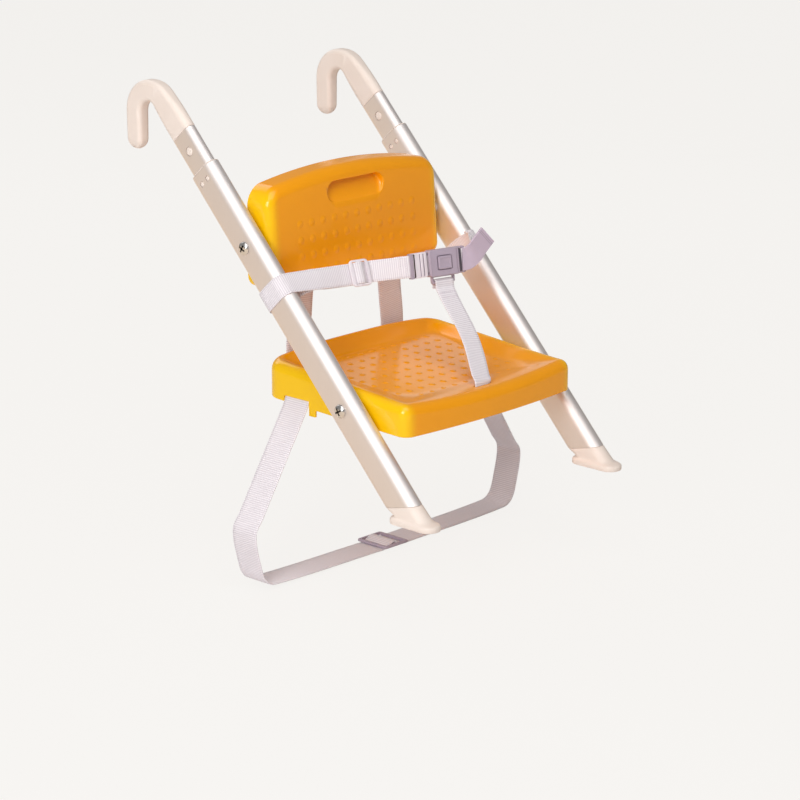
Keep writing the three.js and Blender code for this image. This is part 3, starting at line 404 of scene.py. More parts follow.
def button_profile(d, half):
    """Profile of a rod with low domed ends."""
    r = d / 2
    end = [(r, half - 0.3), (r * 0.9, half + 0.1), (r * 0.7, half + 0.36), (r * 0.35, half + 0.5)]
    return [(c, -x) for c, x in end[::-1]] + end


def carve(piece, cutters, operation="DIFFERENCE"):
    """Cuts shapes out of a piece, or joins them on, and gives the new faces the cutter's finish."""
    for cutter in cutters:
        pick_none()
        bpy.context.view_layer.objects.active = piece
        piece.select_set(True)
        change = piece.modifiers.new("carve", "BOOLEAN")
        change.operation, change.object, change.solver = operation, cutter, "EXACT"
        if cutter.data.materials:
            change.material_mode = "TRANSFER"
        bpy.ops.object.modifier_apply(modifier=change.name)
        bpy.data.objects.remove(cutter)
    bpy.ops.object.shade_smooth_by_angle(angle=math.radians(40))


def sleeve_rings(side):
    """The sleeve inside the tube, the lip that lies on the tube's end, and the bore."""
    def ring(width, depth, along):
        return [on_tube(side, x, y, along) for x, y in oval(width, depth)]
    hole = (inner_w + slip, inner_d + slip)
    lip = [ring(tube_w - less, tube_d - less, tube_top + high)
           for less, high in ((0.5, 0.15), (0.3, 0.5), (0.9, 1.1), (3, 1.3))]
    return ([ring(*hole, tube_top - sleeve_long), ring(bore_w, bore_d, tube_top - sleeve_long),
             ring(bore_w, bore_d, tube_top + 0.15)] + lip
            + [ring(inner_w + 1.2, inner_d + 1.2, tube_top + 1.2), ring(*hole, tube_top + 0.7)])


for name, side in sides:
    sleeve = skin(f"{name}_mouth_sleeve", sleeve_rings(side), pale_plastic, looped=True)
    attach(sleeve, "frame")
    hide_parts(f"{name}_guide_sleeve")
    pin_place = along_place(side, 0, pin_along)
    pin = turned(f"{name}_cross_pin", button_profile(pin_d, inner_w / 2), pin_place, pale_plastic)
    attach(pin, f"{name}_hook_arm")
    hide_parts(f"{name}_hook_pin")
    drill = [(pin_d / 2 + pin_loose, end) for end in (-drill_half, drill_half)]
    carve(slide_tubes[name], [turned("hole", drill, pin_place, anodised)])
    for k, y in enumerate((-lug_apart / 2, lug_apart / 2)):
        lug_place = along_place(side, y, lug_along)
        drill = [(lug_d / 2 + lug_loose, end) for end in (-drill_half, drill_half)]
        carve(outer_tubes[name], [turned("hole", drill, lug_place, anodised, steps=24)])
        lug_profile = button_profile(lug_d, tube_w / 2 - lug_sunk)
        lug = turned(f"{name}_sleeve_lug_{k + 1}", lug_profile, lug_place, pale_plastic, steps=24)
        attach(lug, "frame")

# Feet
# Moulded shoes of the same pale plastic, pushed into the slanted lower ends of the tubes. The ankle
# follows the tube's oval and spreads to a flat sole with a rounded rim.
sole_front, sole_rear, sole_w, sole_rim, foot_spigot = -24, 43, 27.5, 6.5, 34


def foot_rings(side):
    """Rings from the spigot in the tube down over the ankle to the sole."""
    def slanted(width, depth, along):
        return [on_tube(side, x, y, along + cut_slope * y) for x, y in oval(width, depth)]

    def level(width, front, rear, z):
        return [Vector((side * tube_x + x, (front + rear) / 2 + y, z)) for x, y in oval(width, rear - front)]

    def between(low, high, share):
        return [a.lerp(b, share) for a, b in zip(low, high)]
    joint = slanted(tube_w, tube_d, tube_cut - gap)
    ankle = level(tube_w + 0.6, sole_front + 11, sole_rear - 6, sole_rim + 2.5)
    shoe = [between(joint, ankle, t) for t in (0.06, 0.3, 0.55, 0.8, 1)]
    spread = ((tube_w + 1.4, 6.8, 4.0, sole_rim + 1.5), (tube_w + 2.7, 3.6, 2.2, sole_rim + 0.6),
              (sole_w - 1.4, 1.4, 1.0, sole_rim - 0.1), (sole_w - 0.4, 0.3, 0.3, sole_rim - 0.9),
              (sole_w, 0, 0, sole_rim - 1.9), (sole_w, 0, 0, 0.9), (sole_w - 0.5, 0.25, 0.25, 0.3),
              (sole_w - 1.6, 0.8, 0.8, 0))
    shoe += [level(width, sole_front + front_in, sole_rear - rear_in, z)
             for width, front_in, rear_in, z in spread]
    return ([slanted(bore_w - 1, bore_d - 1, tube_cut + foot_spigot),
             slanted(bore_w, bore_d, tube_cut + (foot_spigot - 1)), slanted(bore_w, bore_d, tube_cut - gap),
             slanted(tube_w - 0.8, tube_d - 0.8, tube_cut - gap)] + shoe)


for name, side in sides:
    foot = skin(f"{name}_shoe", foot_rings(side), pale_plastic, angle=50)
    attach(foot, "frame")
    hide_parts(f"{name}_foot")

# Seat
# One moulding in yellow-orange plastic: a shallow dish with a rolled rim, higher at the back, open below and
# covered with rows of low domes. Straps pass through slots and through a notch on each side.
seat_half, seat_front, seat_bow, seat_rear, seat_low, seat_wall = 142, 38, 8, 262, 95, 3
rim_front, rim_side, rim_rear, dish_z, rim_inset, dish_inset = 128, 141, 149, 120, 9, 48
dish_slope, dish_foot, rear_less, less_from, less_over = 0.062, 62, 18, 150, 80
front_sag, sag_long, bow_rear, bow_long, rear_from, skirt_slope, skirt_y = 6, 60, 150, 112, 214, 0.035, 150
front_corner, rear_corner, least_corner, corner_grow, corner_share = 12, 24, 3, 0.8, 0.85
notch_front, notch_rear, notch_high, tab_front, tab_low, past_side = 188, 228, 10, 178, 88, 200
strap_x, strap_slot, crotch_slot, crotch_y, slot_soft = 79, 20, 13.5, 51, 0.6
rear_slot, crotch_slot_z = (253, 270, 104, 110), (100, 150)
dome_pitch, dome_r, dome_high, dome_first, dome_rows, dome_cols = 18.6, 3.7, 1.0, 76, 9, range(-5, 6)
seat_roll = 12
seat_insets = [104, 90, 74, 62, 54, 49, 46, 43, 40, 37, 34, 31, 28, 25, 22, 19, 16, 13.5]
up, ahead = Vector((0, 0, 1)), Vector((1, 0, 0))


def plate(half, low, high, r_low, r_high, arc, edge):
    """Rounded rectangle with one corner radius below and one above."""
    corners = ((half - r_low, low + r_low, r_low), (half - r_high, high - r_high, r_high),
               (r_high - half, high - r_high, r_high), (r_low - half, low + r_low, r_low))
    points = []
    for k, (u, v, r) in enumerate(corners):
        for i in range(arc + 1):
            a = (k - 1 + i / arc) * math.pi / 2
            points.append((u + r * math.cos(a), v + r * math.sin(a)))
        nu, nv, nr = corners[(k + 1) % 4]
        a = k * math.pi / 2
        u0, v0 = points[-1]
        u1, v1 = nu + nr * math.cos(a), nv + nr * math.sin(a)
        points += [(u0 + (u1 - u0) * i / edge, v0 + (v1 - v0) * i / edge) for i in range(1, edge)]
    return points


def pan(name, insets, roll, wall, ring, rim, finish):
    """Thin moulded pan: face, rolled edge, side, and the same again inside."""
    soft = 0.6
    quarter = [i / 10 * math.pi / 2 for i in range(11)]
    rings = [ring(d, 0) for d in insets]
    rings += [ring(roll * (1 - math.sin(a)), roll * (1 - math.cos(a))) for a in quarter]
    rings += [rim(0, soft), rim(soft, 0), rim(wall - soft, 0), rim(wall, soft)]
    inner = roll - wall
    rings += [ring(roll - inner * math.sin(a), roll - inner * math.cos(a)) for a in quarter[::-1]]
    rings += [ring(d, wall) for d in insets[::-1]]
    return skin(name, rings, finish, angle=40)


def block(x0, x1, y0, y1, z0, z1, soften=0, steps=3):
    """A box between limits in millimetres with softened edges."""
    pick_none()
    bpy.ops.mesh.primitive_cube_add(size=1)
    made = bpy.context.object
    middle, size = Vector((x0 + x1, y0 + y1, z0 + z1)) / 2, Vector((x1 - x0, y1 - y0, z1 - z0))
    for v in made.data.vertices:
        v.co = Vector(m + c * s for m, c, s in zip(middle, v.co, size)) * mm
    if soften:
        edge = made.modifiers.new("edge", "BEVEL")
        edge.width, edge.segments, edge.limit_method = soften * mm, steps, "NONE"
        bpy.ops.object.modifier_apply(modifier=edge.name)
    return made


def seat_plan(inset):
    """Outline of the seat at a distance in from its edge, bowed forward at the front."""
    def r(corner):
        most = corner_share * ((seat_rear - seat_front) / 2 - inset)
        return min(max(corner - inset, least_corner) + corner_grow * max(0, inset - seat_roll), most)
    outline = plate(seat_half - inset, seat_front + inset, seat_rear - inset, r(front_corner), r(rear_corner),
                    arc=8, edge=24)
    return [(x, y - seat_bow * (1 - (x / seat_half) ** 2) * clamp01((bow_rear - y) / bow_long))
            for x, y in outline]


def dish_floor(y):
    """The dish is level at the front and climbs gently to the rear."""
    return dish_z + dish_slope * max(0, y - dish_foot)


def seat_top(inset, x, y):
    """Height of the upper face: the rim, and the slope down to the dish."""
    side_up = ease((y - seat_front) / (seat_rear - seat_front))
    rear_up = ease((y - rear_from) / (seat_rear - rear_from)) * (1 - abs(x / seat_half) ** 3)
    sag = front_sag * (1 - (x / seat_half) ** 2) * (1 - ease((y - seat_front) / sag_long))
    rim = rim_front - sag + (rim_side - rim_front) * side_up + (rim_rear - rim_side) * rear_up
    reach = dish_inset - rear_less * ease((y - less_from) / less_over)
    return rim + (dish_floor(y) - rim) * ease((inset - rim_inset) / (reach - rim_inset))


def moulded_orange(name):
    """Glossy plastic whose upright side walls get a yellower base colour as painted light, standing for the
    strong light on the sides.
    """
    made = Finish(name, Specular_IOR_Level=0.42)
    where = made.node("ShaderNodeTexCoord", out="Object")
    across = made.node("ShaderNodeSeparateXYZ", None, {0: where}, out="X").of("ABSOLUTE")
    # Towards the outer sides the colour turns yellow: painted light on both side walls, not a property of the
    # plastic.
    lit_wall_from, lit_wall_to = 0.122, 0.141
    wall = made.node("ShaderNodeMapRange", {"interpolation_type": "SMOOTHSTEP"},
                     {0: across, 1: lit_wall_from, 2: lit_wall_to})
    mottle, grain = made.noise(26.0, 3.0), made.noise(1400.0, 2.0)
    face = made.mix(mottle, colour(244, 157, 2), colour(249, 162, 3))
    made.feed(
        Base_Color=made.mix(wall, face, colour(246, 195, 2)), Roughness=0.12 + grain * 0.05 + mottle * 0.05,
        Normal=made.bump(grain, 0.00002, 0.25))
    return made


orange_plastic = moulded_orange("orange_plastic")
seat = pan("seat_dish", seat_insets, seat_roll, seat_wall,
           lambda d, drop: [(x, y, seat_top(d, x, y) - drop) for x, y in seat_plan(d)],
           lambda d, lift: [(x, y, seat_low + skirt_slope * (y - skirt_y) + lift) for x, y in seat_plan(d)],
           orange_plastic)
tab_x = seat_half - seat_wall / 2
tabs = [block(side * tab_x - seat_wall / 2, side * tab_x + seat_wall / 2, tab_front, notch_front,
              tab_low, seat_low + seat_wall, 0.5) for name, side in sides]
carve(seat, tabs, "UNION")
carve(seat, [block(-past_side, past_side, notch_front, notch_rear, 80, seat_low + notch_high),
             block(-crotch_slot, crotch_slot, crotch_y - 2, crotch_y + 2, *crotch_slot_z, slot_soft)]
      + [block(side * strap_x - strap_slot, side * strap_x + strap_slot, *rear_slot, slot_soft)
         for name, side in sides])
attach(seat, "seat")
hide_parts("seat_shell")
dome_profile = [(dome_r * c, dome_high * h) for c, h in (
    (1.3, -0.15), (1.15, 0.02), (1, 0.15), (0.85, 0.42), (0.65, 0.74), (0.42, 0.92), (0.2, 0.99), (0.06, 1))]
dome_stand = Matrix.Rotation(math.atan(dish_slope), 4, "X") @ Matrix.Rotation(-math.pi / 2, 4, "Y")
first_dome = turned("dome", dome_profile, dome_stand, orange_plastic, steps=20, angle=80)


def dot_rows(target, first, places):
    """Copies of one dome or stitch, each with its own mesh, joined into the piece they stand on."""
    copies = [first]
    while len(copies) < len(places):
        copies.append(first.copy())
        copies[-1].data = first.data.copy()
        bpy.context.scene.collection.objects.link(copies[-1])
    pick_none()
    for dome, place in zip(copies, places):
        dome.location = Vector(place) * mm
        dome.select_set(True)
    target.select_set(True)
    bpy.context.view_layer.objects.active = target
    bpy.ops.object.join()


row_places = [dome_first + row * dome_pitch for row in range(dome_rows)]
dot_rows(seat, first_dome, [(col * dome_pitch, y, dish_floor(y)) for col in dome_cols for y in row_places])

# Backrest
# The second moulding in the same plastic: a shallow pan open at the rear with a gently arched top, rows of
# lower domes, and a blind finger scoop near the top edge.
back_half, back_low, back_top_side, back_top, back_front, back_rear = 141, 222, 337, 351, 247.5, 286
back_wall, back_roll, back_mid, back_tip = 3, 12, 279.5, math.radians(4)
grip_w, grip_h, grip_z, grip_deep, grip_least = 92, 24, 322, 12, 0.3
back_low_corner, back_top_corner, back_insets = 14, 20, [52, 40, 30, 20, 15]
strap_top_x, back_slot, back_rows = 72, (266, 270, 218, 228), (237, 255.6, 274.2, 292.8)


def back_face(z):
    """How far back the leaning front face is at a height."""
    return back_front + math.tan(back_tip) * (z - back_mid)


def back_plan(inset):
    """Outline of the backrest at a distance in from its edge, with the arched top."""
    def r(corner):
        return max(corner - inset, least_corner)
    outline = plate(back_half - inset, back_low + inset, back_top_side - inset, r(back_low_corner),
                    r(back_top_corner), arc=8, edge=24)
    arch = back_top - back_top_side
    return [(x, z + arch * (1 - (x / back_half) ** 2) * clamp01((z - back_mid) / (back_top_side - back_mid)))
            for x, z in outline]


def slant(z):
    """Share of the scoop's depth at a height above its middle."""
    return grip_least + (1 - grip_least) * clamp01((z + grip_h / 2) / grip_h)


def scoop(grow, stages):
    """Rings of a finger scoop that is deep at its top edge and runs out at its lower one."""
    rings = []
    for less, up_by, deep in stages:
        outline = oval(grip_h - less + 2 * grow, grip_w - less + 2 * grow, 24)
        middle = grip_z + up_by
        rings.append([(x, back_face(middle + z) + deep * (1 if deep < 0 or grow else slant(z)), middle + z)
                      for z, x in outline])
    return skin("scoop", rings, orange_plastic)


backrest = pan("backrest_pan", back_insets, back_roll, back_wall,
               lambda d, drop: [(x, back_face(z) + drop, z) for x, z in back_plan(d)],
               lambda d, lift: [(x, back_rear - lift, z) for x, z in back_plan(d)], orange_plastic)
scoop_back = [(0, 0, 1.5), (0, 0, 2.4), (9.6, 3.8, grip_deep + back_wall)]
scoop_hollow = [(-5, 0, -4), (-3.4, 0, -0.5), (-1.8, 0, 0.2), (-0.7, 0, 0.9), (0, 0, 2.2), (0.8, 0.3, 5),
                (2.2, 0.8, 7.6), (4.4, 1.4, 9.8), (7.4, 2.2, 11.2), (11, 3, grip_deep)]
carve(backrest, [scoop(back_wall, scoop_back)], "UNION")
carve(backrest, [scoop(0, scoop_hollow)])
carve(backrest, [block(side * strap_top_x - strap_slot, side * strap_top_x + strap_slot, *back_slot,
                       slot_soft) for name, side in sides])
face_out = Vector((0, -math.cos(back_tip), math.sin(back_tip)))
face_frame = Matrix((face_out, ahead, face_out.cross(ahead))).transposed().to_4x4()
low_profile = [(r * 1.2, h * 0.6) for r, h in dome_profile]
low_dome = turned("low_dome", low_profile, face_frame, orange_plastic, steps=20, angle=80)
dot_rows(backrest, low_dome, [(col * dome_pitch, back_face(z), z) for col in dome_cols for z in back_rows])
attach(backrest, "backrest")
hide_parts("backrest_shell")

# Pivot screws and their fittings
# A chromed cross-head screw holds each shell to each tube through a steel spacer in the tube, with a
# nylon washer between tube and shell and a lock nut inside the shell.
screw_d, head_d, head_h, boss_long, nut_high, past_nut = 6, 15.5, 4, 3, 5, 2
cross_deep, cross_half, cross_thick, seat_pivot, back_pivot = 2.2, 4.6, 1.05, 155, 376
chrome = Finish("screw_chrome", Metallic=1.0)
smear = chrome.noise(160.0, 3.0)
chrome.feed(Base_Color=chrome.mix(smear, colour(205, 202, 200), colour(232, 230, 228)),
            Roughness=0.16 + smear * 0.12)
# The cross recess gets a near-black metal colour: painted shade for the dark inside the recess, with a random
# mottle in it.
recess_shade = Finish("screw_recess_shade", Metallic=1.0)
recess_mottle = recess_shade.noise(400.0, 2.0)
recess_shade.feed(Base_Color=recess_shade.mix(recess_mottle, colour(38, 34, 32), colour(72, 66, 62)), Roughness=0.4 + recess_mottle * 0.2)
zinc = Finish("zinc_steel", Metallic=1.0)
spangle = zinc.noise(220.0, 3.0)
zinc.feed(Base_Color=zinc.mix(spangle, colour(168, 168, 172), colour(205, 205, 208)),
          Roughness=0.32 + spangle * 0.14)
nylon = soft_plastic("white_nylon", colour(238, 236, 232), colour(226, 224, 220), 0.45)
for what, along, half, wall, cross_turn in (
    ("seat", seat_pivot, seat_half, seat_wall, 28), ("back", back_pivot, back_half, back_wall, 62),
):
    for name, side in sides:
        face = tube_w / 2 + gap
        tail = half - tube_x - wall - boss_long - gap - nut_high - past_nut
        r, h = head_d / 2, head_h
        place = along_place(side, 0, along) @ Matrix.Rotation(0 if side > 0 else math.pi, 4, "Z")
        profile = [(screw_d * 0.38, tail), (screw_d / 2, tail + 0.8), (screw_d / 2, face), (r * 0.9, face),
                   (r, face + 0.35), (r, face + 0.8), (r * 0.97, face + 1.2), (r * 0.86, face + h * 0.58),
                   (r * 0.72, face + h * 0.78), (r * 0.5, face + h * 0.93), (r * 0.25, face + h),
                   (r * 0.08, face + h)]
        screw = turned(f"{name}_{what}_cross_screw", profile, place, chrome, steps=48)
        turn_by = math.radians(cross_turn)
        for quarter in (0, math.pi / 2):
            arm = block(face + h - cross_deep, face + h + 2, -cross_half, cross_half,
                        -cross_thick, cross_thick, 0.25, 2)
            # The cross's cut faces take the painted shade colour.
            arm.data.materials.append(recess_shade.material)
            arm.data.transform(Matrix.Scale(mm, 4) @ place @ Matrix.Rotation(turn_by + quarter, 4, "X")
                               @ Matrix.Scale(1 / mm, 4))
            carve(screw, [arm])
        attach(screw, "frame")
        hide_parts(f"{name}_{what}_screw")


def coat(finish, *nodes):
    """Gives CAD pieces that are kept as they are their finish."""
    for node in nodes:
        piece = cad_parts[node]
        piece.data.materials.clear()
        piece.data.materials.append(finish.material)


for name, side in sides:
    coat(nylon, f"{name}_inner_plug", f"{name}_seat_washer", f"{name}_back_washer")
    coat(zinc, f"{name}_seat_spacer", f"{name}_back_spacer", f"{name}_seat_nut", f"{name}_back_nut",
         f"{name}_back_bar", f"{name}_seat_bar")
coat(zinc, "crotch_bar")

# Buckle
# Moulded in lilac-grey plastic, leaning back on the belt: a front cover with a press button in a grooved
# window, and a back plate with a loop below and a locking bar at the side, over a small dark block that is
# painted shade in the slot.
buckle_half, buckle_high, buckle_deep, lock_end = 20.5, 15.5, 6, 33.5
button_l, button_h = 18, 15


def flat_frame(x, y, z, turn, tip):
    """Place of a flat fitting that is turned about the upright and tipped back, in degrees."""
    return (Matrix.Translation((x, y, z)) @ Matrix.Rotation(math.radians(turn), 4, "Z")
            @ Matrix.Rotation(-math.radians(tip), 4, "X"))


def settle(piece, place):
    """Moves a finished mesh from its own millimetre frame into the object's."""
    piece.data.transform(Matrix.Scale(mm, 4) @ place @ Matrix.Scale(1 / mm, 4))
    return piece


def slab(name, x0, x1, y0, y1, z0, z1, corner, edge, finish):
    """A flat moulding standing in XZ with rounded corners and edges."""
    rings = []
    for y_from, way in ((y0, 1), (y1, -1)):
        side_rings = []
        for i in range(5):
            a = i / 4 * math.pi / 2
            inset = edge * (1 - math.sin(a))
            r = max(corner - inset, 0.1)
            outline = plate((x1 - x0) / 2 - inset, z0 + inset, z1 - inset, r, r, arc=6, edge=3)
            y = y_from + way * edge * (1 - math.cos(a))
            side_rings.append([((x0 + x1) / 2 + u, y, v) for u, v in outline])
        rings += side_rings if way > 0 else side_rings[::-1]
    return skin(name, rings, finish, angle=40)


def lilac_slab(name, *size):
    return slab(name, *size, buckle_plastic)


def button_size(grow, y0, y1):
    """Limits of the press button, or of an opening that is larger all round."""
    return -button_l / 2 - grow, button_l / 2 + grow, y0, y1, -button_h / 2 - grow, button_h / 2 + grow


buckle = flat_frame(33, 144.5, 244.5, turn=-14, tip=10)
buckle_plastic = soft_plastic("buckle_plastic", colour(184, 169, 184), colour(170, 155, 170), 0.36)
cover = lilac_slab("buckle_cover", -buckle_half, buckle_half, -buckle_deep, -gap / 2,
                   -buckle_high, buckle_high, 3.2, 1.3)
carve(cover, [lilac_slab("rim", -19.5, -18.1, -6.5, -4, -13.6, 13.6, 0.7, 0.4)], "UNION")
carve(cover, [block(-21.5, 18.1, -3.6, 1, -13.1, 13.1),
              lilac_slab("step", 16.7, 17.8, -8, -5.1, -14.2, 14.2, 0.4, 0.1),
              lilac_slab("groove", *button_size(1.3, -8, -4.7), 2.8, 0.1),
              lilac_slab("window", *button_size(0.4, -9, -2), 2.0, 0.1)])
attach(settle(cover, buckle), "frame")
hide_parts("buckle_body")
button = lilac_slab("press_button", *button_size(0, -7.5, -2.8), 1.8, 0.8)
carve(button, [block(-11, 11, -3.3, -2.3, -9.5, 9.5, 0.2)], "UNION")
carve(button, [lilac_slab("dish", -6.4, 6.4, -9, -7.1, -5, 5, 1.6, 0.35)])
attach(settle(button, buckle), "button")
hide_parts("release_button")
base = lilac_slab("buckle_base", -buckle_half, lock_end, gap / 2, buckle_deep,
                  -buckle_high, buckle_high, 3.2, 1.2)
carve(base, [lilac_slab("loop", -16, 16, gap / 2, 3.65, -24.5, -14, 2.6, 0.9)], "UNION")
carve(base, [block(-21.5, 13.3, 0, 2.95, -9.9, 9.9),
             lilac_slab("side_slot", 21.5, 29.5, -1, 12, -13.5, 13.5, 1.0, 0.1),
             block(21.5, 35.5, 4, 12, -31, 31),
             lilac_slab("loop_slot", -13.5, 13.5, -1, 12, -21, -16.5, 1.0, 0.1)])
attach(settle(base, buckle), "frame")
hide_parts("buckle_back")
# This dark plastic is painted shade: a dark block set in the slot beside the locking bar, and the dark walls
# of the tongue's slot.
painted_shade_plastic = soft_plastic("painted_shade_plastic", colour(96, 88, 100), colour(80, 72, 84), 0.42)
slide = slab("lock_slot_shade", 21.7, 26.0, -1.2, 3.6, -13.3, 13.3, 0.6, 0.2, painted_shade_plastic)
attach(settle(slide, buckle), "frame")

# Buckle tongue and belt slider
# Off-white moulded fittings of the waist belt: the tongue plugs into the buckle and has a slot for the belt
# behind a lilac bar, and the slider is a frame with a middle bar that the belt is threaded over.
tongue_end, tongue_fore, tongue_rear, tongue_high = -45.5, -1.5, 2.45, 14.5
slider_long, slider_high, slider_thick, slider_bar = 26, 31, 2.4, 4
fitting_plastic = soft_plastic("fitting_plastic", colour(240, 232, 236), colour(226, 216, 224), 0.34)
tongue = slab("belt_tongue", tongue_end, -20.8, tongue_fore, tongue_rear, -tongue_high, tongue_high, 2.4, 0.8,
              fitting_plastic)
carve(tongue, [slab("nose", -22.5, 10.9, 0.45, tongue_rear, -9.7, 9.7, 2.2, 0.3, fitting_plastic),
               slab("rib", -29.8, -26.6, -2.2, 1, -12.4, 12.4, 1.2, 0.5, fitting_plastic)], "UNION")
# The slot is cut with the dark plastic and the two line grooves with the lilac plastic, so their walls take
# these darker colours: painted shade in the slot and grooves.
carve(tongue, [slab("slot", -41.5, -37.5, -12, 12, -13.5, 13.5, 1.0, 0.1, painted_shade_plastic)]
      + [lilac_slab("line", x, x + 1.1, -12, -0.4, -13.0, 13.0, 0.4, 0.1) for x in (-31.1, -26.4)])
carve(tongue, [lilac_slab("front_bar", -46.4, -41.6, -4.9, -3.7, -tongue_high, tongue_high, 1.0, 0.4)]
      + [lilac_slab("post", -46.2, -41.8, -4.4, 0.6, z - 0.55, z + 0.55, 0.4, 0.2) for z in (-13.8, 13.8)],
      "UNION")
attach(settle(tongue, buckle), "frame")
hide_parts("buckle_tongue")
slider_at = flat_frame(-59.5, 186, 241, turn=-13, tip=23)


def glide(name, long, high, thick, bar, window, corner, finish):
    """A flat frame with a middle bar and two windows."""
    made = slab(name, -long / 2, long / 2, -thick / 2, thick / 2, -high / 2, high / 2, corner, thick * 0.42,
                finish)
    space = (long - 3 * bar) / 2
    for middle in (-(bar + space) / 2, (bar + space) / 2):
        carve(made, [slab("window", middle - space / 2, middle + space / 2, -9, 9, -window / 2, window / 2,
                          1.2, 0.1, finish)])
    return made


slider = glide("waist_slider", slider_long, slider_high, slider_thick, slider_bar, window=26.4, corner=5,
               finish=fitting_plastic)
settle(slider, slider_at)
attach(slider, "frame")
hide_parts("belt_slider")

# Waist belt
# Two lengths of ribbed polyester webbing. The left one is sewn round the tongue's bar and goes through the
# slider, round the tube and back. The right one goes round the locking bar and the other tube and back.
belt_w, belt_t, belt_along, sewn = 25, 1.4, 312, 14
strap_step, strap_edge, bar_in, tab_bow = 2.5, 0.35, 3.3, 7
rib_pitch, yarn_pitch, edge_band, groove_in, groove_wide = 0.0024, 0.0011, 1.6, 1.9, 0.0004
slack = belt_t / 2 + gap
tube_dir = Vector((0, math.sin(lean), math.cos(lean)))


def on_strap(finish):
    """Distances across and along a strap, from its own UV map."""
    place = finish.node("ShaderNodeUVMap", out="UV")
    return [finish.node("ShaderNodeSeparateXYZ", None, {0: place}, out=axis) for axis in "XY"]


def line_at(distance, place, wide):
    """One on a thin line and nothing away from it."""
    return ((distance - place).of("ABSOLUTE") * (-1 / wide) + 1).of("MAXIMUM", 0)


def ribbed(name, width):
    """Webbing finish: cross ribs, lengthwise yarns, and a denser edge with a groove inside it."""
    cloth = Finish(name, Sheen_Weight=0.15, Specular_IOR_Level=0.25)
    across, along = on_strap(cloth)
    rib = (along * (2 * math.pi / rib_pitch)).of("SINE") * 0.5 + 0.5
    yarn = (across * (2 * math.pi / yarn_pitch)).of("SINE") * 0.5 + 0.5
    edge = (across.of("ABSOLUTE") - (width / 2 - edge_band) * mm).of("GREATER_THAN", 0)
    groove = line_at(across.of("ABSOLUTE"), (width / 2 - groove_in) * mm, groove_wide)
    weave = rib * 0.75 + yarn * 0.25 + edge * 0.1 - groove * 0.5
    wear = cloth.noise(40.0, 3.0)
    shade = weave.of("MAXIMUM", 0) * 0.85 + wear * 0.15
    cloth.feed(Base_Color=cloth.mix(shade, colour(206, 196, 203), colour(247, 242, 244)),
               Roughness=0.72 + wear * 0.12, Normal=cloth.bump(weave, 0.00022, 0.8))
    return cloth


def webbing(name, path, width, thick, finish, looped=False):
    """Flat strap along rows of point and width direction, smoothed, with rounded edges."""
    count = len(path)
    points, across = [Vector(p) for p, a in path], [Vector(a).normalized() for p, a in path]

    def near(i):
        return i % count if looped else min(max(i, 0), count - 1)
    fine = []
    for i in range(count if looped else count - 1):
        a, b = points[i], points[near(i + 1)]
        span = (b - a).length
        out = (b - points[near(i - 1)]).normalized() * span / 3
        into = (points[near(i + 2)] - a).normalized() * span / 3
        steps = max(2, round(span / strap_step))
        for k in range(steps):
            t = k / steps
            s = 1 - t
            fine.append((a * s ** 3 + (a + out) * 3 * s * s * t + (b - into) * 3 * s * t * t + b * t ** 3,
                         across[i].lerp(across[near(i + 1)], t)))
    if not looped:
        fine.append((points[-1], across[-1]))
    half, h = width / 2, thick / 2
    section = [(half - strap_edge - (width - 2 * strap_edge) * k / 8, h) for k in range(9)]
    section += [(-half, h * 0.4), (-half, -h * 0.4)]
    section += [(-x, -y) for x, y in section]
    rings, lengths, total = [], [], 0
    for i, (p, a) in enumerate(fine):
        before = fine[(i - 1) % len(fine)][0] if looped or i > 0 else p
        after = fine[(i + 1) % len(fine)][0] if looped or i < len(fine) - 1 else p
        total += (p - before).length if i > 0 else 0
        lengths.append(total)
        way = (after - before).normalized()
        a = (a - way * a.dot(way)).normalized()
        rings.append([p + a * x + way.cross(a) * y for x, y in section])
    lengths.append(total + (fine[0][0] - fine[-1][0]).length)
    return skin(name, rings, finish, looped, angle=60, measure=([x for x, y in section], lengths))


def round_bar(centre, first, second, radius):
    """Half a turn round a bar, from one direction over the other."""
    turns = [i / 8 * math.pi for i in range(9)]
    return [centre + first * radius * math.cos(a) + second * radius * math.sin(a) for a in turns]


def round_tube(side, lead, leave):
    """The way round a tube from its front over the outer face to its back."""
    r, flat = tube_w / 2 + slack, (tube_d - tube_w) / 2
    points = []
    for middle, start, stop in ((flat, lead, 90), (-flat, 90, 180 + leave)):
        for i in range(9):
            a = math.radians(start + (stop - start) * i / 8)
            points.append(on_tube(side, side * r * math.sin(a), -middle - r * math.cos(a), belt_along))
    return [(p, tube_dir) for p in points]


def threaded(long, thick, bar, strap_t):
    """Behind one end bar of a frame, over the middle bar, behind the other."""
    off, half = thick / 2 + gap + strap_t * 0.62, long / 2
    return [(-half - bar, off), (-half + bar + gap, off), (-bar / 2 - gap, -off), (bar / 2 + gap, -off),
            (half - bar - gap, off), (half + bar, off)]


def in_buckle(x, y, z):
    return buckle @ Vector((x, y, z))


def in_slider(x, y):
    return slider_at @ Vector((x, y, 0))


def facing(points, direction):
    return [(p, direction) for p in points]


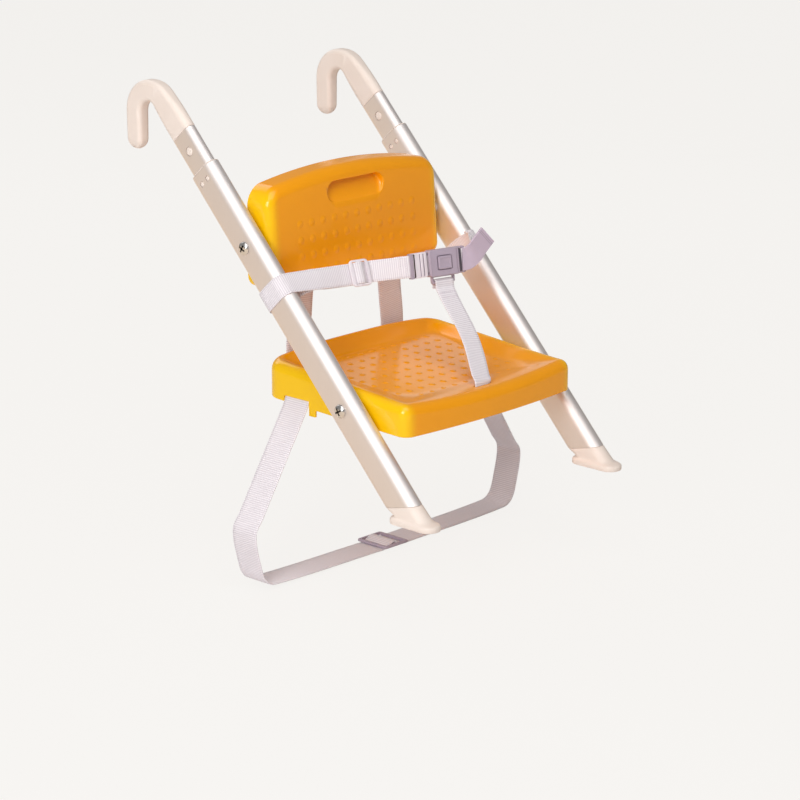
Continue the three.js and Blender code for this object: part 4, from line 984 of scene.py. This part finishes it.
belt_cloth = ribbed("belt_webbing", belt_w)
buckle_turn, slider_turn = buckle.to_3x3(), slider_at.to_3x3()
buckle_up, slider_up = buckle_turn @ up, slider_turn @ up
facing_front, buckle_along = buckle_turn @ Vector((0, -1, 0)), buckle_turn @ ahead
tongue_mid, tongue_turn = (tongue_fore + tongue_rear) / 2, (tongue_rear - tongue_fore) / 2 + slack
through = threaded(slider_long, slider_thick, slider_bar, belt_t)
back_off = slider_thick / 2 + slack
lie = 1.5 * belt_t
tongue_back = in_buckle(tongue_end, tongue_mid + tongue_turn, 0)
tongue_front = in_buckle(tongue_end, tongue_mid - tongue_turn, 0)
to_slider = (in_slider(*through[-1]) - tongue_front).normalized()
left_wrap, left_run = round_tube(-1, lead=6, leave=27), in_slider(-slider_long, through[0][1])


def left_return(share):
    """A point behind the belt's front run, where the returning end lies against it."""
    across = slider_up.lerp(tube_dir, share)
    out = (left_run - left_wrap[0][0]).normalized().cross(across)
    off = 1.6 * belt_t if out.y > 0 else -1.6 * belt_t
    return left_run.lerp(left_wrap[0][0], share) + out * off, across


tongue_bend = round_bar(in_buckle(tongue_end + bar_in, tongue_mid, 0), -facing_front, buckle_along,
                        tongue_turn)
left_path = ([(tongue_back + to_slider * sewn, buckle_up), (tongue_back, buckle_up)]
             + facing(tongue_bend, buckle_up) + [(tongue_front, buckle_up)]
             + facing([in_slider(x, y) for x, y in through[::-1]], slider_up) + [(left_run, slider_up)]
             + left_wrap + [left_return(0.6), left_return(0.3), left_return(0.05)]
             + facing([in_slider(-17, through[0][1] + lie), in_slider(through[1][0], through[1][1] + lie),
                       in_slider(2, back_off + gap)], slider_up))
left_belt = webbing("left_waist_belt", left_path, belt_w, belt_t, belt_cloth)
lock_bar, lock_mid, lock_turn = 4, 2.075, 1.925 + slack
tab_long, tab_turn, tab_rise = 35, math.radians(-10), math.radians(-44)
tab = Matrix.Rotation(tab_turn, 3, "Z") @ Matrix.Rotation(tab_rise, 3, "Y") @ ahead
tab_across = (up - tab * tab.z).normalized()
tab_foot = in_buckle(lock_end + lock_bar, lock_mid - lock_turn - belt_t, 0)
lock_back = in_buckle(lock_end + 2 * lock_bar, lock_mid + lock_turn, 0)
tube_nose = on_tube(1, 0, -tube_d / 2 - slack, belt_along)


def between(share, behind):
    """A point between the locking bar and the tube, and some way behind."""
    return lock_back.lerp(tube_nose, share) + Vector((0, behind, 0))


tab_bend = [(tab_foot + tab * tab_long / 2, tab_across),
            (tab_foot + tab * tab_bow, buckle_up.lerp(tab_across, 0.6))]
lock_bend = round_bar(in_buckle(lock_end - bar_in, lock_mid, 0), facing_front, -buckle_along, lock_turn)
right_path = ([(tab_foot + tab * tab_long, tab_across)] + tab_bend + facing(lock_bend, buckle_up)
              + [(lock_back, buckle_up), (between(0.6, 0), up.lerp(tube_dir, 0.4))]
              + round_tube(1, lead=-28, leave=88)
              + [(on_tube(1, -tube_w / 2 - slack, 0, belt_along), tube_dir),
                 (between(0.8, 2.4 * belt_t), up.lerp(tube_dir, 0.7)),
                 (between(0.6, 1.9 * belt_t), up.lerp(tube_dir, 0.4)), (between(0.4, 1.9 * belt_t), up)])
right_belt = webbing("right_waist_belt", right_path, belt_w, belt_t, belt_cloth)
thread = Finish("sewing_thread", Specular_IOR_Level=0.3)
twist = thread.noise(900.0, 2.0)
thread.feed(Base_Color=thread.mix(twist, colour(206, 194, 204), colour(240, 234, 238)),
            Roughness=0.6 + twist * 0.2)
stitch_row, stitch_count = 20, 8


def sew(target, middle, across, out):
    """A row of stitches across a strap, standing a little proud of it."""
    stand = Matrix((across, out, across.cross(out))).transposed().to_4x4()
    profile = [(0.16, -0.95), (0.4, -0.7), (0.46, 0), (0.4, 0.7), (0.16, 0.95)]
    stitch = turned("stitch", profile, stand, thread, steps=8, angle=80)
    row = [stitch_row * (k / (stitch_count - 1) - 0.5) for k in range(stitch_count)]
    dot_rows(target, stitch, [middle + out * (belt_t / 2 + 0.1) + across * x for x in row])


front_normal = to_slider.cross(buckle_up).normalized()
front_normal = front_normal if front_normal.y < 0 else -front_normal
for reach in (4.5, 11):
    sew(left_belt, tongue_front + to_slider * reach, buckle_up, front_normal)
for name, belt in (("left", left_belt), ("right", right_belt)):
    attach(belt, "frame")
    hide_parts(f"waist_belt_{name}")

# Cap of the belt's free end
# A soft lilac-grey sleeve pushed over the free end of the right belt as a pull tab, closely woven and hemmed
# across near its end.
cap_w, cap_thick, cap_yarn, hem_wide = 26.6, 2.8, 5700, 0.0005
cap_cloth = Finish("tab_cloth", Sheen_Weight=0.1, Specular_IOR_Level=0.25)
cap_across, cap_along = on_strap(cap_cloth)
cap_weave = (cap_across * cap_yarn).of("SINE") * (cap_along * cap_yarn).of("SINE") * 0.5 + 0.5
cap_wear = cap_cloth.noise(60.0, 3.0)
hem = line_at(cap_along, 3.6 * mm, hem_wide).of("MAXIMUM", line_at(cap_along, 5.6 * mm, hem_wide))
cap_shade = hem * 0.75 + cap_weave * 0.1 + cap_wear * 0.15
# The sleeve's lilac-grey is darker than the belt's; part of that darkness is painted shade, for the shade the
# end hangs in beside the buckle.
cap_cloth.feed(
    Base_Color=cap_cloth.mix(cap_shade, colour(206, 188, 204), colour(150, 132, 150)),
    Roughness=0.6 + cap_wear * 0.15, Normal=cap_cloth.bump(cap_weave * 0.3 - hem, 0.0003, 0.7))
cap_path = ([(tab_foot + tab * (tab_long + 0.6), tab_across)] + tab_bend
            + [(in_buckle(lock_end, lock_mid - lock_turn - 0.3, 0), buckle_up),
               (in_buckle(lock_end - 6.2, lock_mid - lock_turn - 0.2, 0), buckle_up)])
cap = webbing("belt_end_cap", cap_path, cap_w, cap_thick, cap_cloth)
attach(cap, "frame")

# Crotch strap
# The same webbing, sewn round the loop under the buckle, hanging in a slight bow to the slot at the front
# of the dish and sewn round a steel bar under the seat.
loop_mid, loop_y, loop_turn = -22.75, 1.9, 2.625 + slack
bar_turn = 2.5 + slack
hang_steps, hang_bow, forward = 16, Vector((10, 3, 0)), Vector((0, -1, 0))
under_z = sum(corner[2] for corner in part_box("crotch_bar")) / 2 / mm
crotch_top = in_buckle(0, loop_y - loop_turn, loop_mid - sewn / 2)
crotch_foot = Vector((0, crotch_y, rim_front - front_sag + 3 * belt_t))
hang = []
for i in range(hang_steps + 1):
    share = i / hang_steps
    hang.append(crotch_top.lerp(crotch_foot, share) + hang_bow * math.sin(math.pi * share ** 1.2) ** 1.5)
loop_bend = round_bar(in_buckle(0, loop_y, loop_mid), -facing_front, buckle_up, loop_turn)
bar_bend = round_bar(Vector((0, crotch_y + bar_turn, under_z)), forward, -up, bar_turn)
crotch_path = ([(in_buckle(0, loop_y + loop_turn, loop_mid - sewn / 2), buckle_along)]
               + facing(loop_bend, buckle_along)
               + [(p, buckle_along.lerp(ahead, i / hang_steps)) for i, p in enumerate(hang)]
               + facing(bar_bend, ahead))
crotch = webbing("crotch_webbing", crotch_path, belt_w, belt_t, belt_cloth)
for share in (0.05, 0.1):
    step = int(share * hang_steps)
    down = hang[step + 1] - hang[step]
    sew(crotch, crotch_top.lerp(crotch_foot, share), buckle_along, down.cross(buckle_along).normalized())
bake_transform(crotch)
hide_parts("crotch_strap")

# Back straps
# Wider webbing that holds the backrest and the seat together at the rear, each end sewn round a steel bar
# inside its moulding. Each strap is in two lengths that meet half way.
wide_w, wide_t = 38, 1.6
wide_turn = 2.5 + gap + wide_t / 2
strap_y, join_z = 268, 182
upper_in, upper_bar, lower_in, lower_bar_y = 221, 227.8, 106, 256.2
wide_cloth = ribbed("wide_webbing", wide_w)
for name, side in sides:
    top_x, low_x = side * strap_top_x, side * strap_x
    middle = Vector(((top_x + low_x) / 2, strap_y, join_z))
    mouth = Vector((top_x, strap_y, upper_in))
    upper_bend = round_bar(Vector((top_x, strap_y + wide_turn, upper_bar)), forward, up, wide_turn)
    upper_path = facing([middle, middle.lerp(mouth, 0.5), mouth] + upper_bend, ahead)
    upper = webbing(f"{name}_back_webbing_upper", upper_path, wide_w, wide_t, wide_cloth)
    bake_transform(upper)
    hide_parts(f"{name}_back_strap_upper")
    lower_run = [Vector((low_x, y, z)) for y, z in (
        (strap_y, 150), (strap_y, 122), (strap_y - 1.5, 111), (260.5, lower_in))]
    lower_bend = round_bar(Vector((low_x, lower_bar_y, lower_in - wide_turn)), up, forward, wide_turn)
    lower_path = facing([middle] + lower_run + lower_bend, ahead)
    lower = webbing(f"{name}_back_webbing_lower", lower_path, wide_w, wide_t, wide_cloth)
    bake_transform(lower)
    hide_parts(f"{name}_back_strap_lower")

# Anchor strap and its adjuster
# One long loop of the wide webbing: across under the dish, out of the side notches, and round below the
# feet. A flat moulded adjuster on the lower run sets its length.
anchor_y, anchor_low, out_x, out_z, low_x, bend_z = 208, -100, 226, -35, 211, -74
adjuster_long, adjuster_high, adjuster_thick, adjuster_bar = 40, 48, 3, 4
run_z = dish_floor(anchor_y - wide_w / 2) - seat_wall - gap - wide_t / 2
leave = Vector((seat_half + wide_t, 0, seat_low + 1))
widest = Vector((out_x, 0, out_z))
half_loop = ([Vector((low_x - 14, 0, anchor_low)), Vector((low_x, 0, anchor_low + 7)),
              Vector((out_x - 7, 0, bend_z)), widest, leave.lerp(widest, 0.87), leave.lerp(widest, 0.5),
              leave]
             + [Vector((seat_half - x, 0, run_z - z)) for x, z in ((6, 12), (18, 3), (30, 0))])
far_loop = [Vector((-p.x, 0, p.z)) for p in half_loop[::-1]]
slack_run = threaded(adjuster_long, adjuster_thick, adjuster_bar, wide_t)
lower_run = [Vector((x, 0, anchor_low - y)) for x, y in slack_run]
anchor_path = [(p + Vector((0, anchor_y, 0)), (0, 1, 0)) for p in half_loop + far_loop + lower_run]
anchor = webbing("anchor_webbing", anchor_path, wide_w, wide_t, wide_cloth, looped=True)
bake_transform(anchor)
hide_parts("anchor_strap")
adjuster = glide("anchor_glide", adjuster_long, adjuster_high, adjuster_thick, adjuster_bar, window=40,
                 corner=3.5, finish=buckle_plastic)
settle(adjuster, Matrix.Translation((0, anchor_y, anchor_low)) @ Matrix.Rotation(math.pi / 2, 4, "X"))
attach(adjuster, "frame")
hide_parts("anchor_adjuster")
